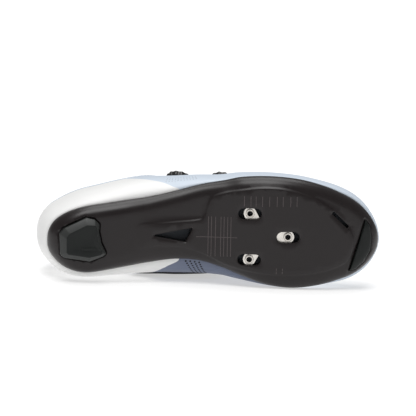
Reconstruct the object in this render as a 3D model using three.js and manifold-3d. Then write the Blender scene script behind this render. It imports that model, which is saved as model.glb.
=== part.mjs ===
// Road cycling shoe for the right foot: stiff sole, hollow upper, tongue, insole, lace dials, cleat nuts.
// It is drawn in millimetres with x from the heel to the toe, y towards the inner side of the foot and z up
// from the ground. The finished group lies on its inner side, the sole towards -Y and the toe towards +X.
import * as THREE from 'three';
import Module from 'manifold-3d';
import { mergeVertices } from 'three/addons/utils/BufferGeometryUtils.js';
import { ConvexHull } from 'three/addons/math/ConvexHull.js';

const wasm = await Module();
wasm.setup();

// Main sizes of the shoe
const soleLength = 274.5;
const ballWidth = 92;
const rimHeight = 27;
const instepHeight = 130;
const heelRound = 0.14;
const toeRound = 0.25;
const heelFullness = 2.3;
const toeFullness = 2;

// Walls, layers and gaps
const upperWall = 2;
const soleThickness = 5.4;
const rimWidth = 3.6;
const rimBlend = 9;
const sideWall = 10;
const insoleThickness = 3;
const tongueThickness = 3;
const strapThickness = 1.3;
const platformStep = 1.3;
const gap = 0.35;
const farAway = 200;

// Half widths and side heights by the share of the sole's length. Half widths are shares of the ball's
// width, rim and bottom heights are shares of the rim height at the toe.
const soleTable = [
  { along: 0.00, lateral: 0.293, medial: 0.250, rim: 0.85, bottom: 0.50 },
  { along: 0.05, lateral: 0.293, medial: 0.283, rim: 0.74, bottom: 0.31 },
  { along: 0.12, lateral: 0.315, medial: 0.285, rim: 0.65, bottom: 0.26 },
  { along: 0.23, lateral: 0.362, medial: 0.233, rim: 0.71, bottom: 0.31 },
  { along: 0.30, lateral: 0.390, medial: 0.199, rim: 0.79, bottom: 0.42 },
  { along: 0.38, lateral: 0.440, medial: 0.173, rim: 0.88, bottom: 0.56 },
  { along: 0.455, lateral: 0.498, medial: 0.186, rim: 0.88, bottom: 0.58 },
  { along: 0.53, lateral: 0.541, medial: 0.252, rim: 0.79, bottom: 0.43 },
  { along: 0.575, lateral: 0.572, medial: 0.308, rim: 0.70, bottom: 0.30 },
  { along: 0.65, lateral: 0.585, medial: 0.387, rim: 0.57, bottom: 0.15 },
  { along: 0.72, lateral: 0.572, medial: 0.417, rim: 0.51, bottom: 0.11 },
  { along: 0.80, lateral: 0.532, medial: 0.410, rim: 0.54, bottom: 0.15 },
  { along: 0.875, lateral: 0.503, medial: 0.405, rim: 0.67, bottom: 0.27 },
  { along: 0.94, lateral: 0.491, medial: 0.418, rim: 0.83, bottom: 0.44 },
  { along: 1.00, lateral: 0.450, medial: 0.415, rim: 1.00, bottom: 0.68 },
];

// How far the upper stands out past the sole (shares of the ball's width), how high its widest line runs
// (share of the instep height) and how full its shoulder is (below 1 is fuller).
const upperTable = [
  { along: 0.00, lateralOut: 0.073, medialOut: 0.073, widest: 0.37, fullness: 0.80 },
  { along: 0.05, lateralOut: 0.062, medialOut: 0.074, widest: 0.36, fullness: 0.80 },
  { along: 0.13, lateralOut: 0.090, medialOut: 0.077, widest: 0.35, fullness: 0.80 },
  { along: 0.24, lateralOut: 0.125, medialOut: 0.110, widest: 0.35, fullness: 0.82 },
  { along: 0.31, lateralOut: 0.130, medialOut: 0.134, widest: 0.36, fullness: 0.86 },
  { along: 0.39, lateralOut: 0.088, medialOut: 0.158, widest: 0.36, fullness: 0.92 },
  { along: 0.465, lateralOut: 0.048, medialOut: 0.141, widest: 0.34, fullness: 0.96 },
  { along: 0.54, lateralOut: 0.016, medialOut: 0.085, widest: 0.31, fullness: 0.96 },
  { along: 0.60, lateralOut: 0.008, medialOut: 0.046, widest: 0.28, fullness: 0.94 },
  { along: 0.66, lateralOut: 0.008, medialOut: 0.014, widest: 0.25, fullness: 0.90 },
  { along: 0.73, lateralOut: 0.010, medialOut: 0.002, widest: 0.24, fullness: 0.86 },
  { along: 0.81, lateralOut: 0.022, medialOut: 0.008, widest: 0.24, fullness: 0.82 },
  { along: 0.885, lateralOut: 0.041, medialOut: 0.040, widest: 0.25, fullness: 0.80 },
  { along: 0.95, lateralOut: 0.038, medialOut: 0.042, widest: 0.27, fullness: 0.80 },
  { along: 1.00, lateralOut: 0.022, medialOut: 0.022, widest: 0.29, fullness: 0.80 },
];

// Crest of the last, as shares of the sole's length and the instep height. Behind the throat the crest runs
// on over the collar's opening, so that the walls there lean as on a real last.
const crestTable = [
  { along: 0.10, height: 0.985 },
  { along: 0.22, height: 1.000 },
  { along: 0.32, height: 0.975 },
  { along: 0.40, height: 0.880 },
  { along: 0.48, height: 0.770 },
  { along: 0.56, height: 0.665 },
  { along: 0.64, height: 0.570 },
  { along: 0.72, height: 0.490 },
  { along: 0.80, height: 0.435 },
  { along: 0.88, height: 0.395 },
];
const crestBack = 0.12;
const crestFront = 0.87;
const crestCentring = 0.6;

// Edge of the collar seen from the side, as shares of the sole's length and the instep height
const collarEdge = [
  { along: -0.08, height: 0.73 },
  { along: 0.00, height: 0.705 },
  { along: 0.05, height: 0.655 },
  { along: 0.11, height: 0.575 },
  { along: 0.18, height: 0.522 },
  { along: 0.25, height: 0.520 },
  { along: 0.32, height: 0.575 },
  { along: 0.37, height: 0.660 },
  { along: 0.41, height: 0.745 },
  { along: 0.445, height: 0.820 },
  { along: 0.50, height: 0.880 },
];

// Half width of the throat by the share of the sole's length
const throatFront = 0.675;
const throatFloor = 54;
const throatRows = [
  { along: 0.66, half: 0.06 },
  { along: 0.61, half: 0.098 },
  { along: 0.54, half: 0.128 },
  { along: 0.46, half: 0.165 },
  { along: 0.38, half: 0.210 },
  { along: 0.28, half: 0.230 },
];

// Raised platform under the ball, with its spine towards the heel
const platformOutline = [
  { along: 0.262, across: -0.158 },
  { along: 0.350, across: -0.182 },
  { along: 0.440, across: -0.203 },
  { along: 0.461, across: -0.235 },
  { along: 0.472, across: -0.345 },
  { along: 0.486, across: -0.412 },
  { along: 0.523, across: -0.455 },
  { along: 0.566, across: -0.480 },
  { along: 0.639, across: -0.508 },
  { along: 0.713, across: -0.489 },
  { along: 0.789, across: -0.416 },
  { along: 0.842, across: -0.322 },
  { along: 0.890, across: -0.190 },
  { along: 0.916, across: -0.040 },
  { along: 0.914, across: 0.090 },
  { along: 0.894, across: 0.187 },
  { along: 0.842, across: 0.254 },
  { along: 0.780, across: 0.288 },
  { along: 0.719, across: 0.300 },
  { along: 0.659, across: 0.292 },
  { along: 0.590, across: 0.266 },
  { along: 0.530, across: 0.220 },
  { along: 0.478, across: 0.143 },
  { along: 0.430, across: 0.088 },
  { along: 0.383, across: 0.060 },
  { along: 0.320, across: 0.052 },
  { along: 0.262, across: 0.058 },
];
const platformFadeFrom = 0.24;
const platformFadeTo = 0.36;

// Walk pad under the heel: its outline and its flat tread
const heelPadOutline = [
  { along: 0.032, across: -0.085, treadAlong: 0.052, treadAcross: -0.050 },
  { along: 0.047, across: -0.134, treadAlong: 0.062, treadAcross: -0.088 },
  { along: 0.111, across: -0.224, treadAlong: 0.112, treadAcross: -0.162 },
  { along: 0.136, across: -0.208, treadAlong: 0.137, treadAcross: -0.160 },
  { along: 0.150, across: -0.166, treadAlong: 0.143, treadAcross: -0.130 },
  { along: 0.149, across: -0.098, treadAlong: 0.143, treadAcross: -0.070 },
  { along: 0.156, across: 0.000, treadAlong: 0.147, treadAcross: 0.010 },
  { along: 0.171, across: 0.093, treadAlong: 0.160, treadAcross: 0.084 },
  { along: 0.162, across: 0.117, treadAlong: 0.153, treadAcross: 0.100 },
  { along: 0.122, across: 0.164, treadAlong: 0.120, treadAcross: 0.122 },
  { along: 0.047, across: 0.129, treadAlong: 0.058, treadAcross: 0.094 },
  { along: 0.036, across: 0.105, treadAlong: 0.052, treadAcross: 0.076 },
];
const heelPadTop = 10.2;
const heelPadBevel = 3.4;

// Walk pad under the toe, a crescent with a straight rear edge
const toePadOutline = [
  { along: 0.950, across: -0.200 },
  { along: 0.966, across: -0.150 },
  { along: 0.973, across: -0.030 },
  { along: 0.970, across: 0.080 },
  { along: 0.950, across: 0.185 },
  { along: 0.922, across: 0.250 },
  { along: 0.902, across: 0.262 },
  { along: 0.931, across: -0.008 },
];
const toePadDepth = 2.4;
const toePadProud = 1.4;

// Vents in the sole
const waistVent = [
  { along: 0.318, across: -0.055 },
  { along: 0.428, across: -0.110 },
  { along: 0.409, across: 0.002 },
];
const toeVentLength = 19;
const toeVentWidth = 2.6;
const toeVentPlace = { along: 0.871, across: -0.204 };
const toeVentAngle = 0.75;

// Cleat nuts: a three-bolt pattern on one plate that slides along in three slots
const rearBolts = { along: 0.5975, across: -0.053 };
const boltSpacing = 37.8;
const boltReach = 31.3;
const slotLength = 18.9;
const slotWidth = 9;
const bossDiameter = 7.2;
const threadBore = 4.4;
const plateThickness = 1.6;
const plateCorner = 5.1;
const plateSlide = 5;
const plateCover = 4;
const bossSink = 1.5;

// Insole
const insoleInset = 3.2;

// Tongue, seen from the side and from above
const tongueSide = [
  { along: 0.70, height: 0.30 },
  { along: 0.70, height: 0.75 },
  { along: 0.315, height: 1.20 },
  { along: 0.360, height: 0.40 },
];
const tongueRows = [
  { along: 0.69, half: 0.14 },
  { along: 0.60, half: 0.19 },
  { along: 0.46, half: 0.26 },
  { along: 0.38, half: 0.28 },
  { along: 0.33, half: 0.24 },
  { along: 0.28, half: 0.10 },
];

// Strap along the inner side of the throat, seen from the side
const strapSide = [
  { along: 0.262, height: 0.42 },
  { along: 0.300, height: 0.36 },
  { along: 0.380, height: 0.335 },
  { along: 0.460, height: 0.35 },
  { along: 0.520, height: 0.41 },
  { along: 0.560, height: 0.52 },
  { along: 0.585, height: 0.70 },
  { along: 0.570, height: 1.00 },
  { along: 0.450, height: 1.10 },
  { along: 0.420, height: 0.93 },
  { along: 0.390, height: 0.78 },
  { along: 0.350, height: 0.63 },
  { along: 0.300, height: 0.51 },
];

// Lace dials on the outer shoulder of the upper
const dialTable = [
  { name: '1', along: 0.415, share: 0.655, guideAlong: 0.415 },
  { name: '2', along: 0.550, share: 0.67, guideAlong: 0.530 },
];
const dialBaseLength = 31;
const dialBaseWidth = 25;
const dialBaseHeight = 3.2;
const dialBaseDepth = 9;
const dialKnobDiameter = 22;
const dialKnobHeight = 4.4;
const dialKnobGrips = 12;
const dialGripDepth = 0.9;
const dialLeverLength = 19;
const dialLeverWidth = 5.5;
const dialLeverHeight = 2.2;

// Wires: half of a loop from its dial over the tongue to its guide. The other half mirrors it. Spread is
// the share of the sole's length to each side, toGuide is how far the loop has gone from dial to guide.
const wireDiameter = 1.4;
const wireHalf = [
  { side: 'lateral', share: 0.735, lift: 1.9, spread: 0.020, toGuide: 0 },
  { side: 'lateral', share: 0.79, lift: 2.3, spread: 0.025, toGuide: 0.05 },
  { side: 'lateral', share: 0.90, lift: 2.4, spread: 0.030, toGuide: 0.3 },
  { side: 'medial', share: 0.96, lift: 2.6, spread: 0.031, toGuide: 0.5 },
  { side: 'medial', share: 0.85, lift: 3.4, spread: 0.030, toGuide: 0.8 },
  { side: 'medial', share: 0.78, lift: 3.7, spread: 0.028, toGuide: 0.95 },
  { side: 'medial', share: 0.725, lift: 3.8, spread: 0.020, toGuide: 1 },
  { side: 'medial', share: 0.705, lift: 3.8, spread: 0, toGuide: 1 },
];
const guideShare = 0.72;
const guideLength = 19;
const guideWidth = 9;
const guideHeight = 5.9;

// Fineness of the meshes
const stations = 26;
const lowerRows = 2;
const upperRows = 7;
const sideRows = 4;
const innerRows = 2;
const wireSteps = 36;
const wireSides = 6;
const curveSteps = 6;
const stepsPerGrip = 4;

// Value of one column of a table at a share of the length, on a smooth curve through the rows
function read(table, column, along) {
  const last = table.length - 1;
  if (along <= table[0].along) return table[0][column];
  if (along >= table[last].along) return table[last][column];
  const i = table.findIndex((row) => row.along > along) - 1;
  const slope = (a, b) => (table[b][column] - table[a][column]) / (table[b].along - table[a].along);
  const step = table[i + 1].along - table[i].along;
  const start = slope(Math.max(i - 1, 0), i + 1) * step;
  const end = slope(i, Math.min(i + 2, last)) * step;
  const u = (along - table[i].along) / step;
  const rise = table[i + 1][column] - table[i][column];
  const square = 3 * rise - 2 * start - end;
  const cube = start + end - 2 * rise;
  return table[i][column] + u * (start + u * (square + u * cube));
}

const blend = (a, b, u) => a + (b - a) * u;
const smooth = (from, to, value) => THREE.MathUtils.smoothstep(value, from, to);
const sideSign = { lateral: -1, medial: 1 };
const place = (row) => new THREE.Vector2(row.along * soleLength, row.across * ballWidth);

// Share of the full width left near the round heel and toe
function endRound(along) {
  const heel = Math.max(0, 1 - along / heelRound);
  const toe = Math.max(0, 1 - (1 - along) / toeRound);
  return (1 - heel ** heelFullness) ** (1 / heelFullness) * (1 - toe ** toeFullness) ** (1 / toeFullness);
}

// Point of the sole's outline at the rim
function rimPoint(along, side) {
  const half = read(soleTable, side, along) * ballWidth * endRound(along);
  const height = read(soleTable, 'rim', along) * rimHeight;
  return new THREE.Vector3(along * soleLength, sideSign[side] * half, height);
}

const otherSide = (side) => (side === 'lateral' ? 'medial' : 'lateral');

// Value at a place that may lie past the heel or the toe, where the outline turns back along the other side
function around(point, along, side) {
  if (along < 0) return point(-along, otherSide(side));
  if (along > 1) return point(2 - along, otherSide(side));
  return point(along, side);
}

// Direction that points out of the sole's outline, level with the ground
const probe = 0.003;
function rimOutward(along, side) {
  const run = around(rimPoint, along + probe, side).sub(around(rimPoint, along - probe, side));
  run.setZ(0).normalize();
  return new THREE.Vector3(-run.y, run.x, 0).multiplyScalar(sideSign[side]);
}

// Line along the middle of the sole that its columns run in to
function middleShift(along) {
  return (read(soleTable, 'medial', along) - read(soleTable, 'lateral', along)) / 2 * ballWidth;
}

function middlePoint(along) {
  const x = blend(crestBack, crestFront, along);
  return new THREE.Vector3(x * soleLength, middleShift(x), 0);
}

// Point of the last: share 0 is the rim, bendShare is the widest line and 1 is the crest
const bendShare = 0.25;
function lastPoint(along, side, share) {
  const foot = rimPoint(along, side);
  foot.z += gap;
  const out = read(upperTable, `${side}Out`, along) * ballWidth;
  const wide = foot.clone().addScaledVector(rimOutward(along, side), out);
  wide.z = read(upperTable, 'widest', along) * instepHeight;
  if (share <= bendShare) {
    const turn = (share / bendShare) * Math.PI / 2;
    const level = foot.clone().lerp(wide, Math.sin(turn));
    return level.setZ(blend(foot.z, wide.z, 1 - Math.cos(turn)));
  }
  const crestAlong = blend(crestBack, crestFront, along);
  const crest = middlePoint(along);
  crest.y *= crestCentring;
  crest.z = read(crestTable, 'height', crestAlong) * instepHeight;
  const turn = ((share - bendShare) / (1 - bendShare)) * Math.PI / 2;
  const fullness = read(upperTable, 'fullness', along);
  const level = crest.clone().lerp(wide, Math.max(Math.cos(turn), 0) ** fullness);
  return level.setZ(blend(wide.z, crest.z, Math.sin(turn) ** fullness));
}

// Direction that points out of the last
function lastNormal(along, side, share) {
  if (share > 1 - probe) {
    const crest = (at) => lastPoint(THREE.MathUtils.clamp(at, 0, 1), side, 1);
    const run = crest(along + probe).sub(crest(along - probe));
    return run.setY(0).cross(new THREE.Vector3(0, 1, 0)).normalize();
  }
  const level = (at, face) => lastPoint(at, face, share);
  const ahead = around(level, along + probe, side).sub(around(level, along - probe, side));
  const below = lastPoint(along, side, Math.max(share - probe, 0));
  const upwards = lastPoint(along, side, share + probe).sub(below);
  return ahead.cross(upwards).multiplyScalar(-sideSign[side]).normalize();
}

const onUpper = (along, side, share, lift) =>
  lastPoint(along, side, share).addScaledVector(lastNormal(along, side, share), lift);

// Places round the outline, from the heel along the outer side to the toe and back along the inner side
const ring = [];
for (let k = 0; k < 2 * stations; k += 1) {
  const station = k <= stations ? k : 2 * stations - k;
  const along = (1 - Math.cos((station / stations) * Math.PI)) / 2;
  ring.push({ along, side: k <= stations ? 'lateral' : 'medial' });
}

// Grid of points, one column for each place round the outline, and its triangles
function skin(shares, point) {
  const points = ring.flatMap(({ along, side }) => shares.map((share) => point(along, side, share)));
  const faces = [];
  for (let c = 0; c < ring.length; c += 1) {
    for (let r = 0; r < shares.length - 1; r += 1) {
      const a = c * shares.length + r;
      const b = ((c + 1) % ring.length) * shares.length + r;
      faces.push([a, b, b + 1], [a, b + 1, a + 1]);
    }
  }
  return { points, faces, rows: shares.length };
}

// Closed geometry of an upper and a lower skin, joined round their outer edges
function closed(top, bottom) {
  const count = top.points.length;
  const faces = [...top.faces, ...bottom.faces.map(([a, b, c]) => [c + count, b + count, a + count])];
  for (let c = 0; c < ring.length; c += 1) {
    const next = (c + 1) % ring.length;
    const [a, b] = [c * top.rows, next * top.rows];
    const [d, e] = [c * bottom.rows + count, next * bottom.rows + count];
    faces.push([a, d, e], [a, e, b]);
  }
  const geometry = new THREE.BufferGeometry().setFromPoints([...top.points, ...bottom.points]);
  return geometry.setIndex(faces.flat());
}

// Solid of a closed geometry, without the triangles that shrink to a line when its vertices are merged
function solid(geometry) {
  const bare = geometry.clone();
  bare.deleteAttribute('normal');
  bare.deleteAttribute('uv');
  const merged = mergeVertices(bare, 1e-4);
  const corners = Array.from(merged.index.array);
  const kept = [];
  for (let i = 0; i < corners.length; i += 3) {
    const [a, b, c] = corners.slice(i, i + 3);
    if (a !== b && b !== c && c !== a) kept.push(a, b, c);
  }
  const vertProperties = Float32Array.from(merged.attributes.position.array);
  return new wasm.Manifold(new wasm.Mesh({ numProp: 3, vertProperties, triVerts: Uint32Array.from(kept) }));
}

// Prism of an outline seen from above, between two heights
function upright(outline, low, high) {
  const settings = { depth: high - low, bevelEnabled: false, curveSegments: curveSteps };
  return new THREE.ExtrudeGeometry(outline, settings).translate(0, 0, low);
}

// Prism of an outline seen from the side, between two distances across
function sideways(outline, from, to) {
  return upright(outline, 0, to - from).rotateX(Math.PI / 2).translate(0, to, 0);
}

function shares(count, from = 0, to = 1) {
  return Array.from({ length: count + 1 }, (_, i) => blend(from, to, i / count));
}

// Outline of circles of one radius round the corners of a convex figure, which run anticlockwise
function rounded(corners, radius) {
  const outline = new THREE.Shape();
  const angle = (from, to) => Math.atan2(from.x - to.x, to.y - from.y);
  corners.forEach((corner, i) => {
    const before = corners[(i + corners.length - 1) % corners.length];
    const after = corners[(i + 1) % corners.length];
    const start = angle(before, corner);
    const turn = THREE.MathUtils.euclideanModulo(angle(corner, after) - start, 2 * Math.PI);
    outline.absarc(corner.x, corner.y, radius, start, start + turn, false);
  });
  return outline;
}

// Anticlockwise outline with each side moved outwards by a distance, or inwards by a negative one
function grown(points, distance) {
  const outward = (from, to) => new THREE.Vector2(to.y - from.y, from.x - to.x).normalize();
  return points.map((point, i) => {
    const before = outward(points[(i + points.length - 1) % points.length], point);
    const after = outward(point, points[(i + 1) % points.length]);
    const reach = distance / (1 + before.dot(after));
    return point.clone().addScaledVector(before.add(after), reach);
  });
}

// Closed geometry through level rings of equally many points, from the top down
function stacked(rings) {
  const count = rings[0].length;
  const faces = [];
  for (let level = 0; level < rings.length - 1; level += 1) {
    for (let i = 0; i < count; i += 1) {
      const [a, b] = [level * count + i, level * count + ((i + 1) % count)];
      faces.push(a, a + count, b, b, a + count, b + count);
    }
  }
  const flat = (level) => rings[level].map(({ x, y }) => new THREE.Vector2(x, y));
  const cap = (level) => THREE.ShapeUtils.triangulateShape(flat(level), []);
  cap(0).forEach(([a, b, c]) => faces.push(a, b, c));
  const last = rings.length - 1;
  cap(last).forEach(([a, b, c]) => faces.push(last * count + a, last * count + c, last * count + b));
  return new THREE.BufferGeometry().setFromPoints(rings.flat()).setIndex(faces);
}

// Height of the sole's underside, which rises round the side to the rim
function undersideHeight(along, inset) {
  const low = read(soleTable, 'bottom', along) * rimHeight;
  const rim = read(soleTable, 'rim', along) * rimHeight;
  const left = Math.max(0, 1 - inset / sideWall);
  return blend(low, rim, 1 - Math.sqrt(1 - left * left));
}

// Height of the sole's inner face: a level rim, then a dish that follows the underside
function insideHeight(along, inset) {
  const low = read(soleTable, 'bottom', along) * rimHeight + soleThickness;
  const rim = read(soleTable, 'rim', along) * rimHeight;
  return blend(rim, low, smooth(rimWidth, rimWidth + rimBlend, inset));
}

// Rows of a sole column: close together round the side, wide apart in the middle
const sideShare = 0.5;
const soleShares = [...shares(sideRows, 0, sideShare), ...shares(innerRows, sideShare, 1).slice(1)];

// Skin at a height that depends on the place along and on the distance in from the rim
function soleSkin(height, edgeInset) {
  return skin(soleShares, (along, side, share) => {
    const rim = rimPoint(along, side).setZ(0);
    const middle = middlePoint(along);
    const run = rim.distanceTo(middle);
    const turn = Math.min(share / sideShare, 1) * Math.PI / 2;
    const nearSide = blend(edgeInset, sideWall, 1 - Math.cos(turn));
    const further = (share - sideShare) / (1 - sideShare);
    const inset = share <= sideShare ? nearSide : blend(sideWall, run, further);
    const point = rim.lerp(middle, inset / run);
    return point.setZ(height(THREE.MathUtils.clamp(point.x / soleLength, 0, 1), inset));
  });
}

function soleLayer(high, low, edgeInset = 0) {
  return solid(closed(soleSkin(high, edgeInset), soleSkin(low, edgeInset)));
}

const lowered = (height, drop) => (along, inset) => height(along, inset) - drop;
const platformHeight = (along, inset) =>
  undersideHeight(along, inset) - platformStep * smooth(platformFadeFrom, platformFadeTo, along);

// Closed body of the last, grown by an offset and with its foot drawn down by a drop
const lastShares = [...shares(lowerRows, 0, bendShare), ...shares(upperRows, bendShare, 1).slice(1)];
function lastBody(offset, drop) {
  const shell = skin([-1, ...lastShares], (along, side, share) => {
    const outward = rimOutward(along, side);
    const lean = Math.min(Math.max(share, 0) / bendShare, 1);
    const normal = outward.lerp(lastNormal(along, side, Math.max(share, 0)), lean).normalize();
    const point = lastPoint(along, side, Math.max(share, 0)).addScaledVector(normal, offset);
    return share < 0 ? point.setZ(point.z - drop) : point;
  });
  const foot = skin(shares(2), (along, side, share) => {
    const rim = rimPoint(along, side);
    const point = rim.clone().addScaledVector(rimOutward(along, side), offset);
    return point.lerp(middlePoint(along), share).setZ(rim.z + gap - drop);
  });
  return solid(closed(shell, foot));
}

// Cutters seen from the side and from above
const seenFromSide = (row) => new THREE.Vector2(row.along * soleLength, row.height * instepHeight);

function collarCutter() {
  const edge = collarEdge.map(seenFromSide);
  const outline = new THREE.Shape().moveTo(edge[0].x, edge[0].y);
  outline.splineThru(edge.slice(1));
  outline.lineTo(edge.at(-1).x, farAway);
  outline.lineTo(edge[0].x, farAway);
  return solid(sideways(outline, -farAway, farAway));
}

// Strip round the crest line with the half widths of a table, seen from above
function crestStrip(rows, frontAlong) {
  const corner = (along, across) => {
    const centre = middleShift(along) * crestCentring;
    return new THREE.Vector2(along * soleLength, centre + across * ballWidth);
  };
  const outer = rows.map(({ along, half }) => corner(along, -half)).reverse();
  const inner = rows.map(({ along, half }) => corner(along, half));
  const outline = new THREE.Shape().moveTo(outer[0].x, outer[0].y);
  outline.splineThru([...outer.slice(1), corner(frontAlong, 0), ...inner]);
  return outline;
}

// Places a shape drawn on a level plane on the upper, its z along the way out and its x along the shoe
function onUpperFrame(along, side, share) {
  const up = lastNormal(along, side, share);
  const ahead = lastPoint(along + probe, side, share).sub(lastPoint(along, side, share));
  const forward = ahead.addScaledVector(up, -ahead.dot(up)).normalize();
  const frame = new THREE.Matrix4().makeBasis(forward, up.clone().cross(forward), up);
  return frame.setPosition(lastPoint(along, side, share));
}

// Pieces
const shoe = new THREE.Group();

function add(name, body, material) {
  const { vertProperties, triVerts } = body.getMesh();
  const geometry = new THREE.BufferGeometry();
  geometry.setAttribute('position', new THREE.BufferAttribute(vertProperties, 3));
  geometry.setIndex(new THREE.BufferAttribute(triVerts, 1));
  geometry.computeVertexNormals();
  const mesh = new THREE.Mesh(geometry, material);
  mesh.name = name;
  shoe.add(mesh);
}

// Finish of a piece and the density of what it is made of, in grams for each cubic centimetre
function finish(color, roughness, metalness, density) {
  const material = new THREE.MeshStandardMaterial({ color, roughness, metalness });
  material.userData.density = density;
  return material;
}

const soleNylon = finish('#2f2b2c', 0.5, 0, 1.15);
const padRubber = finish('#2b2f2d', 0.75, 0, 1.15);
const nutSteel = finish('#dcd8d2', 0.3, 1, 7.85);
const upperSkin = finish('#d9e2e9', 0.45, 0, 1);
const tongueCloth = finish('#eceff1', 0.8, 0, 0.5);
const insoleFoam = finish('#3a3d42', 0.9, 0, 0.25);
const strapSkin = finish('#1f1e1e', 0.5, 0, 1.1);
const dialPlastic = finish('#22211f', 0.4, 0, 1.2);
const wireCoat = finish('#3a3a3b', 0.45, 0.3, 1.4);

// Cleat nuts on their plate, drawn level: x forwards from the rear bolts, z in from the platform's face
const rearPlace = place(rearBolts);
const platformAt = (x) => platformHeight(x / soleLength, sideWall);
const cleatPitch = Math.atan2(platformAt(rearPlace.x) - platformAt(rearPlace.x + boltReach), boltReach);
const cleatFrame = new THREE.Matrix4().makeRotationY(cleatPitch);
cleatFrame.setPosition(rearPlace.x, rearPlace.y, platformAt(rearPlace.x));
const bolts = [
  new THREE.Vector2(0, -boltSpacing / 2),
  new THREE.Vector2(boltReach, 0),
  new THREE.Vector2(0, boltSpacing / 2),
];
const moved = (point, x) => new THREE.Vector2(point.x + x, point.y);
const atCleats = (geometry) => solid(geometry.applyMatrix4(cleatFrame));

function peg(centre, diameter, low, high) {
  const circle = new THREE.Shape().absarc(centre.x, centre.y, diameter / 2, 0, 2 * Math.PI, false);
  return atCleats(upright(circle, low, high));
}

// Outline of the plate, with an arm from the middle of the pattern to each bolt
function plateOutline() {
  const outline = new THREE.Shape();
  const middle = new THREE.Vector2(boltReach / 3, 0);
  const turns = bolts.map((bolt) => bolt.clone().sub(middle).angle());
  bolts.forEach(({ x, y }, i) => {
    outline.absarc(x, y, plateCorner, turns[i] - Math.PI / 2, turns[i] + Math.PI / 2, false);
    const turnOn = turns[(i + 1) % bolts.length] - turns[i];
    const between = THREE.MathUtils.euclideanModulo(turnOn, 2 * Math.PI) / 2;
    const reach = new THREE.Vector2(plateCorner / Math.sin(between), 0);
    const inner = reach.rotateAround(new THREE.Vector2(), turns[i] + between).add(middle);
    outline.lineTo(inner.x, inner.y);
  });
  return outline;
}

function nutPlate() {
  const plate = atCleats(upright(plateOutline(), plateCover, plateCover + plateThickness));
  return bolts.reduce((rest, bolt) => {
    const boss = peg(bolt, bossDiameter, bossSink, plateCover + plateThickness / 2);
    return rest.add(boss).subtract(peg(bolt, threadBore, 0, farAway));
  }, plate);
}

function slotCutters() {
  const [outer, front, inner] = bolts;
  const reach = [moved(outer, -plateSlide), moved(outer, plateSlide), moved(front, plateSlide)];
  const pocketCorners = [...reach, moved(inner, plateSlide), moved(inner, -plateSlide)];
  const pocket = atCleats(upright(rounded(pocketCorners, plateCorner + gap), plateCover - gap, farAway));
  const half = (slotLength - slotWidth) / 2;
  const slots = bolts.map((bolt) => {
    const ends = [moved(bolt, -half), moved(bolt, half)];
    return atCleats(upright(rounded(ends, slotWidth / 2), -plateCover, plateCover));
  });
  return [pocket, ...slots];
}

// Walk pads and the openings that they sit in
const heelPadPoints = heelPadOutline.map(place);
const toePadPoints = toePadOutline.map(place);
const padFloor = lowered(undersideHeight, -toePadDepth);

function heelPad() {
  const tread = heelPadOutline.map((row) => place({ along: row.treadAlong, across: row.treadAcross }));
  const level = (points, z) => points.map(({ x, y }) => new THREE.Vector3(x, y, z));
  const sides = [heelPadTop, heelPadBevel].map((z) => level(heelPadPoints, z));
  return solid(stacked([...sides, level(tread, 0)]));
}

function toePad() {
  const layer = soleLayer(lowered(padFloor, gap), lowered(undersideHeight, toePadProud));
  return layer.intersect(solid(upright(new THREE.Shape(grown(toePadPoints, -gap)), -farAway, farAway)));
}

function toeVent() {
  const centre = place(toeVentPlace);
  const half = (toeVentLength - toeVentWidth) / 2;
  const run = new THREE.Vector2(Math.cos(toeVentAngle), Math.sin(toeVentAngle)).multiplyScalar(half);
  const ends = [centre.clone().sub(run), centre.clone().add(run)];
  return solid(upright(rounded(ends, toeVentWidth / 2), -farAway, farAway));
}

function sole() {
  const platformPrism = solid(upright(new THREE.Shape(platformOutline.map(place)), -farAway, farAway));
  const stepLayer = soleLayer(lowered(undersideHeight, -platformStep), platformHeight);
  const heelRecess = upright(new THREE.Shape(grown(heelPadPoints, gap)), -farAway, heelPadTop + gap);
  const toeRecess = soleLayer(padFloor, lowered(undersideHeight, sideWall));
  const toePrism = solid(upright(new THREE.Shape(toePadPoints), -farAway, farAway));
  const vent = solid(upright(new THREE.Shape(waistVent.map(place)), -farAway, farAway));
  const cutters = [solid(heelRecess), toeRecess.intersect(toePrism), vent, toeVent(), ...slotCutters()];
  const platform = stepLayer.intersect(platformPrism);
  const body = soleLayer(insideHeight, undersideHeight).add(platform);
  return cutters.reduce((rest, cutter) => rest.subtract(cutter), body);
}

function insole() {
  const top = lowered(insideHeight, -gap - insoleThickness);
  return soleLayer(top, lowered(insideHeight, -gap), insoleInset);
}

// Upper and what is cut from its own form
const collar = collarCutter();
const throat = solid(upright(crestStrip(throatRows, throatFront), throatFloor, farAway));
const outside = lastBody(0, 0);
const overUpper = lastBody(gap, sideWall);

function upper() {
  return outside.subtract(lastBody(-upperWall, sideWall)).subtract(collar).subtract(throat);
}

function tongue() {
  const face = -upperWall - gap;
  const sheet = lastBody(face, 0).subtract(lastBody(face - tongueThickness, sideWall));
  const strip = solid(upright(crestStrip(tongueRows, tongueRows[0].along), rimHeight, farAway));
  const profile = sideways(new THREE.Shape(tongueSide.map(seenFromSide)), -farAway, farAway);
  return sheet.intersect(strip).intersect(solid(profile));
}

function strap() {
  const edge = strapSide.map(seenFromSide);
  const outline = new THREE.Shape().moveTo(edge[0].x, edge[0].y);
  outline.splineThru([...edge.slice(1), edge[0]]);
  const sheet = lastBody(gap + strapThickness, sideWall).subtract(overUpper);
  return sheet.intersect(solid(sideways(outline, 0, farAway))).subtract(collar).subtract(throat);
}

// Dials, wires and guides
function wireRoute({ along, guideAlong }) {
  const half = (sign) => wireHalf.map(({ side, share, lift, spread, toGuide }) =>
    onUpper(blend(along, guideAlong, toGuide) + sign * spread, side, share, lift));
  return [...half(-1), ...half(1).slice(0, -1).reverse()];
}

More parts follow.
